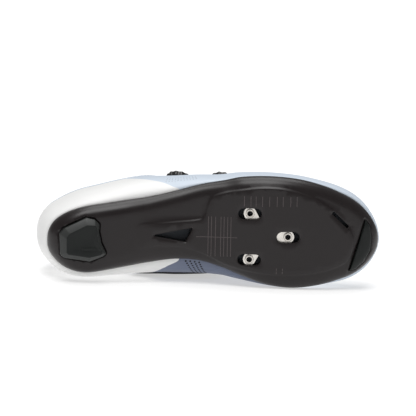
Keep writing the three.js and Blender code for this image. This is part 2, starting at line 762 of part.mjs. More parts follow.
function tube(points, diameter) {
  const outline = new THREE.Shape();
  for (let i = 0; i < wireSides; i += 1) {
    const turn = (i / wireSides) * 2 * Math.PI;
    const corner = [Math.cos(turn) * diameter / 2, Math.sin(turn) * diameter / 2];
    if (i === 0) outline.moveTo(...corner);
    else outline.lineTo(...corner);
  }
  const extrudePath = new THREE.CatmullRomCurve3(points, false, 'centripetal');
  return solid(new THREE.ExtrudeGeometry(outline, { steps: wireSteps, bevelEnabled: false, extrudePath }));
}

// Room round a wire: a wider tube that runs on past both ends
function wireRoom(points) {
  const [first, second, ...others] = points;
  const start = first.clone().add(first.clone().sub(second).setLength(2 * gap));
  const end = points.at(-1).clone().add(points.at(-1).clone().sub(points.at(-2)).setLength(2 * gap));
  return tube([start, first, second, ...others, end], wireDiameter + 2 * gap);
}

function dialBase(frame, room) {
  const [halfLength, halfWidth] = [dialBaseLength / 2, dialBaseWidth / 2];
  const outline = new THREE.Shape().absellipse(0, 0, halfLength, halfWidth, 0, 2 * Math.PI, false);
  const block = upright(outline, -dialBaseDepth, dialBaseHeight).applyMatrix4(frame);
  return solid(block).subtract(overUpper).subtract(room);
}

function dialKnob(frame) {
  const count = dialKnobGrips * stepsPerGrip;
  const points = Array.from({ length: count }, (_, i) => {
    const turn = (i / count) * 2 * Math.PI;
    const radius = dialKnobDiameter / 2 - dialGripDepth * (0.5 - 0.5 * Math.cos(turn * dialKnobGrips));
    return new THREE.Vector2(Math.cos(turn) * radius, Math.sin(turn) * radius);
  });
  const low = dialBaseHeight + gap;
  const top = low + dialKnobHeight;
  const knob = upright(new THREE.Shape(points), low, top).applyMatrix4(frame);
  const half = (dialLeverLength - dialLeverWidth) / 2;
  const ends = [new THREE.Vector2(-half, 0), new THREE.Vector2(half, 0)];
  const lever = upright(rounded(ends, dialLeverWidth / 2), top - dialLeverHeight, top + dialLeverHeight);
  return solid(knob).add(solid(lever.applyMatrix4(frame)));
}

function guide({ guideAlong }, room) {
  const half = guideLength / 2 - guideWidth / 2;
  const ends = [new THREE.Vector2(-half, 0), new THREE.Vector2(half, 0)];
  const block = upright(rounded(ends, guideWidth / 2), -guideHeight, guideHeight);
  const seat = lastBody(2 * gap + strapThickness, sideWall);
  const frame = onUpperFrame(guideAlong, 'medial', guideShare);
  return solid(block.applyMatrix4(frame)).subtract(seat).subtract(room);
}

add('sole', sole(), soleNylon);
add('upper', upper(), upperSkin);
add('tongue', tongue(), tongueCloth);
add('insole', insole(), insoleFoam);
add('heel_pad', heelPad(), padRubber);
add('toe_pad', toePad(), padRubber);
add('cleat_nut_plate', nutPlate(), nutSteel);
add('instep_strap', strap(), strapSkin);
dialTable.forEach((dial) => {
  const frame = onUpperFrame(dial.along, 'lateral', dial.share);
  const route = wireRoute(dial);
  const room = wireRoom(route);
  add(`dial_base_${dial.name}`, dialBase(frame, room), dialPlastic);
  add(`dial_knob_${dial.name}`, dialKnob(frame), dialPlastic);
  add(`lace_wire_${dial.name}`, tube(route, wireDiameter), wireCoat);
  add(`wire_guide_${dial.name}`, guide(dial, room), dialPlastic);
});

// Laid on its inner side: of the flat faces of the shoe's convex hull, it rests on the one nearest to level
// that holds the middle of its mass.
const laid = new THREE.Group();
shoe.rotation.x = -Math.PI / 2;
laid.add(shoe);
laid.updateMatrixWorld(true);

function cornersOf(mesh) {
  const { position } = mesh.geometry.attributes;
  return Array.from({ length: position.count }, (_, i) =>
    new THREE.Vector3().fromBufferAttribute(position, i).applyMatrix4(mesh.matrixWorld));
}

const allCorners = () => shoe.children.flatMap(cornersOf);

// Middle of the mass, summed over the tetrahedra from the origin to each triangle
function middleOfMass() {
  const middle = new THREE.Vector3();
  let mass = 0;
  shoe.children.forEach((mesh) => {
    const corners = cornersOf(mesh);
    const index = mesh.geometry.index.array;
    for (let i = 0; i < index.length; i += 3) {
      const [a, b, c] = [corners[index[i]], corners[index[i + 1]], corners[index[i + 2]]];
      const weight = a.dot(b.clone().cross(c)) / 6 * mesh.material.userData.density;
      mass += weight;
      middle.addScaledVector(a, weight / 4).addScaledVector(b, weight / 4).addScaledVector(c, weight / 4);
    }
  });
  return middle.divideScalar(mass);
}

function restingNormal(points, middle) {
  const down = new THREE.Vector3(0, 0, -1);
  const holdsMiddle = ({ edge, normal }) => {
    const corners = [edge.head().point, edge.next.head().point, edge.prev.head().point];
    return new THREE.Ray(middle, normal).intersectTriangle(...corners, false, new THREE.Vector3()) !== null;
  };
  const faces = new ConvexHull().setFromPoints(points).faces.filter(holdsMiddle);
  return faces.sort((a, b) => b.normal.dot(down) - a.normal.dot(down))[0].normal;
}

const resting = restingNormal(allCorners(), middleOfMass());
laid.quaternion.setFromUnitVectors(resting, new THREE.Vector3(0, 0, -1));
laid.updateMatrixWorld(true);
const box = new THREE.Box3().setFromPoints(allCorners());
laid.position.set(-(box.min.x + box.max.x) / 2, -(box.min.y + box.max.y) / 2, -box.min.z);

const model = new THREE.Group();
model.add(laid);
export default model;
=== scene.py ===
# Road cycling shoe for the right foot, lying on its inner side on a pale studio floor.
# Shapes are worked out in millimetres in the shoe's own frame, with x from the heel to the toe, y towards
# the inner side of the foot and z up from the ground, and are then laid where the frame has them.
import math

import bmesh
import bpy
import numpy as np
from mathutils import Matrix, Vector
from mathutils.bvhtree import BVHTree
from mathutils.geometry import delaunay_2d_cdt


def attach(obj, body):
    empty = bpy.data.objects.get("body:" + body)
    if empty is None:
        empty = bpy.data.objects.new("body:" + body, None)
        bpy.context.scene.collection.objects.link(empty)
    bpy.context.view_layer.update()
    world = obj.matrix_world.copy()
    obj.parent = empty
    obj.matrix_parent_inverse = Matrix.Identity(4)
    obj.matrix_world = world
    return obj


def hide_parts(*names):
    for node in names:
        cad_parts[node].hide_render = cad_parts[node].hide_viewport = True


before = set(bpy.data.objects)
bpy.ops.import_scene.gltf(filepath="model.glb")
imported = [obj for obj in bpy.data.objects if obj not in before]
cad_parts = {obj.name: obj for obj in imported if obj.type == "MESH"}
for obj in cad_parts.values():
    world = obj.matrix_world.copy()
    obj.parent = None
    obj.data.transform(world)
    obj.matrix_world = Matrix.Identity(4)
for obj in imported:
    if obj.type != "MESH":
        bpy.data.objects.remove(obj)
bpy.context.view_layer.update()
print('frame loaded')

# How the shoe lies: the direction that points down, and where the back of its heel is
lying = {
    'down': (-0.03426, -0.00425, -0.9994),
    'heelAt': (-0.134822, -0.061404, 0.031589),
}
settle = Vector(lying['down']).rotation_difference(Vector((0, 0, -1))).to_matrix().to_4x4()
onSide = Matrix.Rotation(-math.pi / 2, 4, 'X')
toRow = Matrix.Translation(lying['heelAt']) @ settle @ onSide @ Matrix.Scale(0.001, 4)
turnToRow = (settle @ onSide).to_3x3()

# Main sizes of the shoe
shoe = {
    'length': 274.5,
    'width': 92,
    'rim': 27,
    'instep': 130,
    'heelRound': 0.14,
    'toeRound': 0.25,
    'heelFullness': 2.3,
    'toeFullness': 2,
    'wall': 2.0,
    'gap': 0.35,
    'crestBack': 0.12,
    'crestFront': 0.87,
    'crestCentring': 0.6,
    'bendShare': 0.25,
}
soleTable = {
    'along': [0, 0.05, 0.12, 0.23, 0.30, 0.38, 0.455, 0.53, 0.575, 0.65, 0.72, 0.80, 0.875, 0.94, 1],
    'lateral': [0.293, 0.293, 0.315, 0.362, 0.390, 0.440, 0.498, 0.541, 0.572, 0.585, 0.572, 0.532, 0.503,
                0.491, 0.450],
    'medial': [0.250, 0.283, 0.285, 0.233, 0.199, 0.173, 0.186, 0.252, 0.308, 0.387, 0.417, 0.410, 0.405,
               0.418, 0.415],
    'rim': [0.85, 0.74, 0.65, 0.71, 0.79, 0.88, 0.88, 0.79, 0.70, 0.57, 0.51, 0.54, 0.67, 0.83, 1],
    'bottom': [0.50, 0.31, 0.26, 0.31, 0.42, 0.56, 0.58, 0.43, 0.30, 0.15, 0.11, 0.15, 0.27, 0.44, 0.68],
}
upperTable = {
    'along': [0, 0.05, 0.13, 0.24, 0.31, 0.39, 0.465, 0.54, 0.60, 0.66, 0.73, 0.81, 0.885, 0.95, 1],
    'lateral': [0.073, 0.062, 0.090, 0.125, 0.130, 0.088, 0.048, 0.016, 0.008, 0.008, 0.010, 0.022, 0.041,
                0.038, 0.022],
    'medial': [0.073, 0.074, 0.077, 0.110, 0.134, 0.158, 0.141, 0.085, 0.046, 0.014, 0.002, 0.008, 0.040,
               0.042, 0.022],
    'widest': [0.37, 0.36, 0.35, 0.35, 0.36, 0.36, 0.34, 0.31, 0.28, 0.25, 0.24, 0.24, 0.25, 0.27, 0.29],
    'fullness': [0.80, 0.80, 0.80, 0.82, 0.86, 0.92, 0.96, 0.96, 0.94, 0.90, 0.86, 0.82, 0.80, 0.80, 0.80],
}
crestTable = {
    'along': [0.10, 0.22, 0.32, 0.40, 0.48, 0.56, 0.64, 0.72, 0.80, 0.88],
    'height': [0.985, 1.0, 0.975, 0.880, 0.770, 0.665, 0.570, 0.490, 0.435, 0.395],
}
collarTable = {
    'along': [-0.08, 0, 0.05, 0.11, 0.18, 0.25, 0.32, 0.37, 0.41, 0.445, 0.50],
    'height': [0.73, 0.705, 0.655, 0.575, 0.522, 0.520, 0.575, 0.660, 0.745, 0.820, 0.880],
}
throatTable = {
    'along': [0.28, 0.38, 0.46, 0.54, 0.61, 0.66],
    'half': [0.230, 0.210, 0.165, 0.128, 0.098, 0.06],
    'front': 0.675,
}
tongueTable = {
    'along': [0.28, 0.33, 0.38, 0.46, 0.60, 0.69],
    'half': [0.10, 0.24, 0.28, 0.26, 0.19, 0.14],
}


# Value of a column of a table on a smooth curve through its rows
def read(table, column, along):
    at, values = np.array(table['along'], float), np.array(table[column], float)
    along = np.clip(np.asarray(along, float), at[0], at[-1])
    row = np.clip(np.searchsorted(at, along, side='right') - 1, 0, len(at) - 2)

    def slope(a, b):
        return (values[b] - values[a]) / (at[b] - at[a])

    step = at[row + 1] - at[row]
    start = slope(np.maximum(row - 1, 0), row + 1) * step
    end = slope(row, np.minimum(row + 2, len(at) - 1)) * step
    u = (along - at[row]) / step
    rise = values[row + 1] - values[row]
    return values[row] + u * (start + u * (3 * rise - 2 * start - end + u * (start + end - 2 * rise)))


def blend(a, b, u):
    return a + (b - a) * u


def smooth(low, high, value):
    u = np.clip((value - low) / (high - low), 0, 1)
    return u * u * (3 - 2 * u)


def unit(vectors):
    return vectors / np.maximum(np.linalg.norm(vectors, axis=-1, keepdims=True), 1e-9)


def joined(*parts):
    return np.stack(np.broadcast_arrays(*parts), axis=-1)


# Past the heel or the toe the outline turns back along the other side; outer is -1 and inner is 1
def wrapped(along, side):
    past = (along < 0) | (along > 1)
    inside = np.where(along < 0, -along, np.where(along > 1, 2 - along, along))
    return inside, np.where(past, -side, side)


def bySide(table, side, along):
    return np.where(side < 0, read(table, 'lateral', along), read(table, 'medial', along))


def rimPoint(along, side):
    along, side = np.broadcast_arrays(along, side)
    heel = np.maximum(0, 1 - along / shoe['heelRound'])
    toe = np.maximum(0, 1 - (1 - along) / shoe['toeRound'])
    ends = np.maximum(1 - heel ** shoe['heelFullness'], 0) ** (1 / shoe['heelFullness'])
    ends = ends * np.maximum(1 - toe ** shoe['toeFullness'], 0) ** (1 / shoe['toeFullness'])
    half = bySide(soleTable, side, along) * shoe['width'] * ends
    return joined(along * shoe['length'], side * half, read(soleTable, 'rim', along) * shoe['rim'])


probe = 0.003  # step on the last, as a share, that its slopes are taken over


def rimOutward(along, side):
    run = rimPoint(*wrapped(along + probe, side)) - rimPoint(*wrapped(along - probe, side))
    outward = joined(-run[..., 1], run[..., 0], np.zeros_like(run[..., 0]))
    return unit(outward) * np.asarray(side)[..., None]


def middleShift(along):
    return (read(soleTable, 'medial', along) - read(soleTable, 'lateral', along)) / 2 * shoe['width']


# Point of the last: share 0 is the sole's rim, a quarter is the widest line and 1 is the crest
def lastPoint(along, side, share):
    along, side, share = np.broadcast_arrays(along, side, share)
    foot = rimPoint(along, side)
    foot[..., 2] += shoe['gap']
    out = bySide(upperTable, side, along) * shoe['width']
    wide = foot + rimOutward(along, side) * out[..., None]
    wide[..., 2] = read(upperTable, 'widest', along) * shoe['instep']
    low = np.clip(share / shoe['bendShare'], 0, 1) * math.pi / 2
    lowLevel = foot + (wide - foot) * np.sin(low)[..., None]
    lowLevel[..., 2] = blend(foot[..., 2], wide[..., 2], 1 - np.cos(low))
    crestAlong = blend(shoe['crestBack'], shoe['crestFront'], along)
    height = read(crestTable, 'height', crestAlong) * shoe['instep']
    crest = joined(crestAlong * shoe['length'], middleShift(crestAlong) * shoe['crestCentring'], height)
    high = np.clip((share - shoe['bendShare']) / (1 - shoe['bendShare']), 0, 1.01) * math.pi / 2
    fullness = read(upperTable, 'fullness', along)
    highLevel = crest + (wide - crest) * (np.maximum(np.cos(high), 0) ** fullness)[..., None]
    highLevel[..., 2] = blend(wide[..., 2], crest[..., 2], np.sin(high) ** fullness)
    return np.where((share <= shoe['bendShare'])[..., None], lowLevel, highLevel)


def lastNormal(along, side, share):
    along, side, share = np.broadcast_arrays(along, side, share)
    ahead = lastPoint(*wrapped(along + probe, side), share) - lastPoint(*wrapped(along - probe, side), share)
    below = lastPoint(along, side, np.maximum(share - probe, 0))
    normal = unit(np.cross(ahead, lastPoint(along, side, share + probe) - below)) * -side[..., None]
    run = lastPoint(np.minimum(along + probe, 1), side, 1) - lastPoint(np.maximum(along - probe, 0), side, 1)
    crest = unit(joined(-run[..., 2], np.zeros_like(run[..., 0]), run[..., 0]))
    return np.where((share > 1 - probe)[..., None], crest, normal)


def onUpper(along, side, share, lift):
    return lastPoint(along, side, share) + lastNormal(along, side, share) * np.asarray(lift)[..., None]


# Plain tools for loops seen from above
def closedCurve(points, perSpan):
    points = np.array(points, float)
    before, after, beyond = np.roll(points, 1, 0), np.roll(points, -1, 0), np.roll(points, -2, 0)
    parts = []
    for u in np.arange(perSpan) / perSpan:
        start, end = (after - before) / 2, (beyond - points) / 2
        rise = after - points
        parts.append(points + u * (start + u * (3 * rise - 2 * start - end + u * (start + end - 2 * rise))))
    return np.stack(parts, axis=1).reshape(-1, 2)


def movedOut(loop, distance):
    ahead = np.roll(loop, -1, 0) - np.roll(loop, 1, 0)
    return loop + unit(np.stack([ahead[:, 1], -ahead[:, 0]], axis=1)) * distance


def distanceTo(points, loop):
    ends = np.roll(loop, -1, 0)
    run = ends - loop
    nearest = np.full(len(points), np.inf)
    for start, along in zip(loop, run):
        offset = points - start
        u = np.clip(offset @ along / max(along @ along, 1e-12), 0, 1)
        nearest = np.minimum(nearest, np.linalg.norm(offset - u[:, None] * along, axis=1))
    return nearest


def insideLoop(points, loop):
    crossings = np.zeros(len(points), int)
    for (x1, y1), (x2, y2) in zip(loop, np.roll(loop, -1, 0)):
        spans = (points[:, 1] < y1) != (points[:, 1] < y2)
        if y1 != y2:
            crossings += spans & (points[:, 0] < x1 + (points[:, 1] - y1) * (x2 - x1) / (y2 - y1))
    return crossings % 2 == 1


def depthInside(points, loop):
    return distanceTo(points, loop) * np.where(insideLoop(points, loop), 1, -1)


# Outline round circles of one radius at the corners of a convex figure, anticlockwise
def rounded(corners, radius, steps=10):
    corners = [np.array(corner, float) for corner in corners]
    loop = []
    for i, corner in enumerate(corners):
        arrive = corner - corners[i - 1]
        leave = corners[(i + 1) % len(corners)] - corner
        start = math.atan2(-arrive[0], arrive[1])
        turn = (math.atan2(-leave[0], leave[1]) - start) % (2 * math.pi)
        for angle in start + turn * np.linspace(0, 1, max(2, round(steps * turn / math.pi) + 1)):
            loop.append(corner + radius * np.array([math.cos(angle), math.sin(angle)]))
    return np.array(loop)


# How near a grid point, in shares of the spacing, or a given point, in mm, may come to a line
tiling = {'gridClear': 0.4, 'pointClear': 0.12}


# Triangles that fill a loop round holes, through extra lines and points
def tiled(outer, holes=(), lines=(), points=(), spacing=4.0):
    loops = [outer, *holes, *lines]
    low, high = outer.min(axis=0), outer.max(axis=0)
    columns = np.arange(low[0], high[0], spacing)
    grid = [(x, y) for x in columns for y in np.arange(low[1], high[1], spacing)]
    grid, given = np.array(grid).reshape(-1, 2), np.array(points, float).reshape(-1, 2)
    apart = spacing * tiling['gridClear']
    grid = grid[distanceToPoints(grid, given) >= apart]
    loose = np.concatenate([grid, given])
    clear = np.where(np.arange(len(loose)) < len(grid), apart, tiling['pointClear'])
    nearest = np.min([distanceTo(loose, loop) for loop in loops], axis=0)
    loose = loose[insideLoop(loose, outer) & (nearest > clear)]
    coords, edges = [], []
    for loop in loops:
        first, count = len(coords), len(loop)
        coords += [Vector(point) for point in loop]
        edges += [(first + i, first + (i + 1) % count) for i in range(count)]
    coords += [Vector(point) for point in loose]
    verts, _, faces, *_ = delaunay_2d_cdt(coords, edges, [], 0, 1e-6)
    plan = np.array([tuple(vert) for vert in verts])
    faces = np.array([face for face in faces if len(face) == 3])
    centres = plan[faces].mean(axis=1)
    kept = insideLoop(centres, outer)
    for hole in holes:
        kept &= ~insideLoop(centres, hole)
    return plan, faces[kept]


def distanceToPoints(points, others):
    others = np.asarray(others, float)
    nearest = np.full(len(points), np.inf)
    for first in range(0, len(others), 500):
        apart = points[:, None] - others[None, first:first + 500]
        nearest = np.minimum(nearest, np.linalg.norm(apart, axis=2).min(axis=1))
    return nearest


# Colours are written as they look on a screen
def colour(code):
    parts = [int(code[i:i + 2], 16) / 255 for i in (1, 3, 5)]
    return tuple(c / 12.92 if c <= 0.04045 else ((c + 0.055) / 1.055) ** 2.4 for c in parts) + (1,)


# Adds a node with its settings, its values and its links
def addNode(tree, kind, settings=None, inputs=None):
    node = tree.nodes.new(kind)
    for name, value in (settings or {}).items():
        setattr(node, name, value)
    for socket, value in (inputs or {}).items():
        if isinstance(value, bpy.types.NodeSocket):
            tree.links.new(value, node.inputs[socket])
        else:
            node.inputs[socket].default_value = value
    return node


# The wave texture has one band in 0.314 m at scale 1; thread sizes are in millimetres
bandsPerMetre = 314.16


# A surface with soft colour changes, a fine grain and, where it is cloth, crossing threads
def makeSurface(name, look):
    material = bpy.data.materials.new(name)
    material.use_nodes = True
    tree = material.node_tree
    tree.nodes.clear()
    place = addNode(tree, 'ShaderNodeTexCoord').outputs['Object']
    cloud = addNode(tree, 'ShaderNodeTexNoise', None,
                    {'Vector': place, 'Scale': 1000 / look['cloudSize'], 'Detail': 3.0, 'Roughness': 0.6})
    tone = addNode(tree, 'ShaderNodeMix', {'data_type': 'RGBA'},
                   {0: cloud.outputs['Fac'], 6: colour(look['colour']), 7: colour(look['tint'])}).outputs[2]
    for attribute, code in look.get('areas', ()):
        reach = addNode(tree, 'ShaderNodeAttribute', {'attribute_name': attribute})
        mask = addNode(tree, 'ShaderNodeMapRange', {'interpolation_type': 'SMOOTHSTEP'},
                       {'Value': reach.outputs['Fac'], 'From Min': -0.3, 'From Max': 0.3})
        tone = addNode(tree, 'ShaderNodeMix', {'data_type': 'RGBA'},
                       {0: mask.outputs['Result'], 6: tone, 7: colour(code)}).outputs[2]
    spread = look.get('roughSpread', 0.08)
    rough = addNode(tree, 'ShaderNodeMapRange', None,
                    {'Value': cloud.outputs['Fac'], 'To Min': look['rough'] - spread,
                     'To Max': look['rough'] + spread})
    grain = addNode(tree, 'ShaderNodeTexNoise', None,
                    {'Vector': place, 'Scale': 1000 / look['grainSize'], 'Detail': 2.0})
    bump = addNode(tree, 'ShaderNodeBump', None,
                   {'Height': grain.outputs['Fac'], 'Distance': look['grainDepth'] / 1000, 'Strength': 0.6})
    for axis in look.get('threads', ()):
        thread = addNode(tree, 'ShaderNodeTexWave', {'bands_direction': axis},
                         {'Vector': place, 'Scale': bandsPerMetre / look['threadSize'],
                          'Distortion': 0.6, 'Detail': 1.0})
        bump = addNode(tree, 'ShaderNodeBump', None,
                       {'Height': thread.outputs['Fac'], 'Distance': look['threadDepth'] / 1000,
                        'Strength': 0.7, 'Normal': bump.outputs['Normal']})
    values = {'Base Color': tone, 'Roughness': rough.outputs['Result'], 'Normal': bump.outputs['Normal']}
    values.update(look.get('shader', {}))
    shader = addNode(tree, 'ShaderNodeBsdfPrincipled', None, values)
    addNode(tree, 'ShaderNodeOutputMaterial', None, {'Surface': shader.outputs['BSDF']})
    return material


surfaces = {
    # Fibre-filled nylon from a spark-eroded mould: a warm black with a satin grain
    'mouldedNylon': {'colour': '#1c1718', 'tint': '#221d1d', 'cloudSize': 30, 'rough': 0.35,
                     'grainSize': 0.5, 'grainDepth': 0.03, 'shader': {'IOR': 1.40}},
    # The raised marks are painted a little lighter than the nylon: a painted highlight along their tops
    'highlitMarkNylon': {'colour': '#4a4243', 'tint': '#544b4c', 'cloudSize': 8, 'rough': 0.45,
                    'grainSize': 0.5, 'grainDepth': 0.02, 'shader': {'IOR': 1.45}},
    # Compression-moulded rubber: duller than the nylon, with a green cast
    'mouldedRubber': {'colour': '#0f1211', 'tint': '#161a19', 'cloudSize': 12, 'rough': 0.42,
                      'grainSize': 0.4, 'grainDepth': 0.05, 'shader': {'IOR': 1.34}},
    # The bevels of the heel pad are painted a lighter, greyer rubber: a painted highlight for the light their
    # faces catch from above
    'highlitBevelRubber': {'colour': '#292b2a', 'tint': '#2f3130', 'cloudSize': 10, 'rough': 0.46,
                      'grainSize': 0.5, 'grainDepth': 0.05, 'shader': {'IOR': 1.46}},
    # Nickel-plated steel, tumbled bright
    'platedSteel': {'colour': '#e6e2dc', 'tint': '#cfcbc5', 'cloudSize': 4, 'rough': 0.26,
                    'grainSize': 0.3, 'grainDepth': 0.006, 'shader': {'Metallic': 1.0}},
    # Microfibre with a smooth polyurethane face, light blue in front of a white heel; the inner waist is
    # darker, partly a deeper blue and partly painted shade
    'microfibre': {'colour': '#cfd9e4', 'tint': '#c8d3e0', 'cloudSize': 45, 'rough': 0.46,
                   'grainSize': 0.7, 'grainDepth': 0.035, 'shader': {'IOR': 1.45},
                   'areas': (('heelReach', '#efefee'), ('innerPanelAndShade', '#6c7489'))},
    # Knitted polyester lining on foam
    'knitLining': {'colour': '#3b3f45', 'tint': '#31353a', 'cloudSize': 14, 'rough': 0.85,
                   'grainSize': 0.5, 'grainDepth': 0.08, 'threads': ('X', 'Z'), 'threadSize': 0.9,
                   'threadDepth': 0.15, 'shader': {'Sheen Weight': 0.3}},
    # Woven tape folded over the edge of the opening
    'edgeTape': {'colour': '#c9d3dd', 'tint': '#bcc7d2', 'cloudSize': 9, 'rough': 0.7,
                 'grainSize': 0.4, 'grainDepth': 0.05, 'threads': ('X',), 'threadSize': 0.7,
                 'threadDepth': 0.08, 'shader': {'Sheen Weight': 0.2}},
    # Padded tongue in a warp-knit cloth
    'tongueKnit': {'colour': '#e6eaee', 'tint': '#d9dfe5', 'cloudSize': 16, 'rough': 0.8,
                   'grainSize': 0.5, 'grainDepth': 0.07, 'threads': ('X', 'Z'), 'threadSize': 1.1,
                   'threadDepth': 0.16, 'shader': {'Sheen Weight': 0.25}},
    # Brushed cloth on a foam insole
    'insoleCloth': {'colour': '#33373c', 'tint': '#2a2d32', 'cloudSize': 10, 'rough': 0.9,
                    'grainSize': 0.6, 'grainDepth': 0.1, 'threads': ('X', 'Z'), 'threadSize': 0.8,
                    'threadDepth': 0.1, 'shader': {'Sheen Weight': 0.3}},
    # Black microfibre strap with cut edges
    'blackMicrofibre': {'colour': '#1b1a1a', 'tint': '#252424', 'cloudSize': 20, 'rough': 0.5,
                        'grainSize': 0.6, 'grainDepth': 0.05, 'shader': {'IOR': 1.45}},
    # Injection-moulded nylon of the dials: close to gloss
    'dialNylon': {'colour': '#1c1b1a', 'tint': '#262422', 'cloudSize': 6, 'rough': 0.33,
                  'grainSize': 0.4, 'grainDepth': 0.012, 'shader': {'IOR': 1.5}},
    # Steel strands in a tight braided coat
    'braidedWire': {'colour': '#3b3b3d', 'tint': '#2c2c2e', 'cloudSize': 1.2, 'rough': 0.4,
                    'grainSize': 0.25, 'grainDepth': 0.05, 'shader': {'IOR': 1.5}},
    # The dark inside a pinhole: the lining seen through it, darkened further as painted shade in the hole
    'pinholeShade': {'colour': '#2b2e34', 'tint': '#202327', 'cloudSize': 3, 'rough': 0.9,
                'grainSize': 0.5, 'grainDepth': 0.02},
    # Bonded polyester thread
    'thread': {'colour': '#eef1f4', 'tint': '#dfe4e9', 'cloudSize': 1.5, 'rough': 0.55,
               'grainSize': 0.2, 'grainDepth': 0.03},
    # Frosted acrylic over lamps: a studio table that glows a little, so that shadows stay pale
    'frostedTable': {'colour': '#c6c6c6', 'tint': '#c8c8c8', 'cloudSize': 600, 'rough': 0.75,
                   'grainSize': 6, 'grainDepth': 0.01,
                   'shader': {'Emission Color': (1, 1, 1, 1), 'Emission Strength': 0.5}},
}
material = {name: makeSurface(name, look) for name, look in surfaces.items()}
print('materials made:', len(material))


# Makes a mesh from points in the shoe's frame, closes its seams and lays it in the row frame
def newPiece(name, points, faces, materials, faceMaterials=None, values=None, sharp=38):
    mesh = bpy.data.meshes.new(name)
    mesh.from_pydata([tuple(toRow @ Vector(point)) for point in points], [], [tuple(f) for f in faces])
    for item in materials:
        mesh.materials.append(material[item])
    if faceMaterials is not None:
        mesh.polygons.foreach_set('material_index', list(faceMaterials))
    for label, numbers in (values or {}).items():
        mesh.attributes.new(label, 'FLOAT', 'POINT').data.foreach_set('value', list(numbers))
    work = bmesh.new()
    work.from_mesh(mesh)
    bmesh.ops.remove_doubles(work, verts=work.verts, dist=2e-6)
    bmesh.ops.dissolve_degenerate(work, edges=work.edges, dist=1e-7)
    bmesh.ops.recalc_face_normals(work, faces=work.faces)
    work.to_mesh(mesh)
    work.free()
    mesh.shade_smooth()
    mesh.set_sharp_from_angle(angle=math.radians(sharp))
    piece = bpy.data.objects.new(name, mesh)
    bpy.context.collection.objects.link(piece)
    return piece


# Turns a piece's modifiers into its mesh
def applied(piece, sharp=None):
    shape = bpy.data.meshes.new_from_object(piece.evaluated_get(bpy.context.evaluated_depsgraph_get()))
    piece.modifiers.clear()
    piece.data = shape
    shape.name = piece.name
    if sharp is not None:
        shape.shade_smooth()
        shape.set_sharp_from_angle(angle=math.radians(sharp))
    return piece


# Rounds the edges of a piece that turn by more than an angle
def softenEdges(piece, width, segments, angle):
    bevel = piece.modifiers.new('soft edges', 'BEVEL')
    bevel.width, bevel.segments, bevel.limit_method = width / 1000, segments, 'ANGLE'
    bevel.angle_limit = math.radians(angle)


def finished(piece, nodes=(), body='shoe'):
    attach(piece, body)
    if nodes:
        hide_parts(*nodes)
    return piece


# Faces between equal rows of points; rows close round where they are loops
def gridFaces(columns, rows, around=True, offset=0):
    c, r = np.meshgrid(np.arange(columns if around else columns - 1), np.arange(rows - 1), indexing='ij')
    a = offset + c * rows + r
    b = offset + (c + 1) % columns * rows + r
    return np.stack([a, b, b + 1, a + 1], axis=-1).reshape(-1, 4)


# Faces of closed columns of rows, with a flat face over the top and the bottom
def cappedFaces(columns, rows):
    caps = [[i * rows + end for i in range(columns)] for end in (rows - 1, 0)]
    return gridFaces(columns, rows).tolist() + caps


# Faces of a tube of rings, with a flat face at each end unless it closes on itself
def tubeFaces(rings, steps, closed=False):
    faces = []
    for i in range(rings if closed else rings - 1):
        for j in range(steps):
            k, m = (i + 1) % rings, (j + 1) % steps
            faces.append((i * steps + j, i * steps + m, k * steps + m, k * steps + j))
    if not closed:
        faces += [tuple(range(steps)), tuple(range((rings - 1) * steps, rings * steps))]
    return faces


# Closed slab over a tiled plan, between the heights of its two faces, with walls round its rim
def slab(plan, faces, one, other, rim):
    count = len(plan)
    points = np.concatenate([np.column_stack([plan, one]), np.column_stack([plan, other])])
    at = [int(np.argmin(np.linalg.norm(plan - spot, axis=1))) for spot in rim]
    walls = [(a, b, b + count, a + count) for a, b in zip(at, at[1:] + at[:1])]
    return points, [*faces.tolist(), *(faces + count).tolist(), *walls]


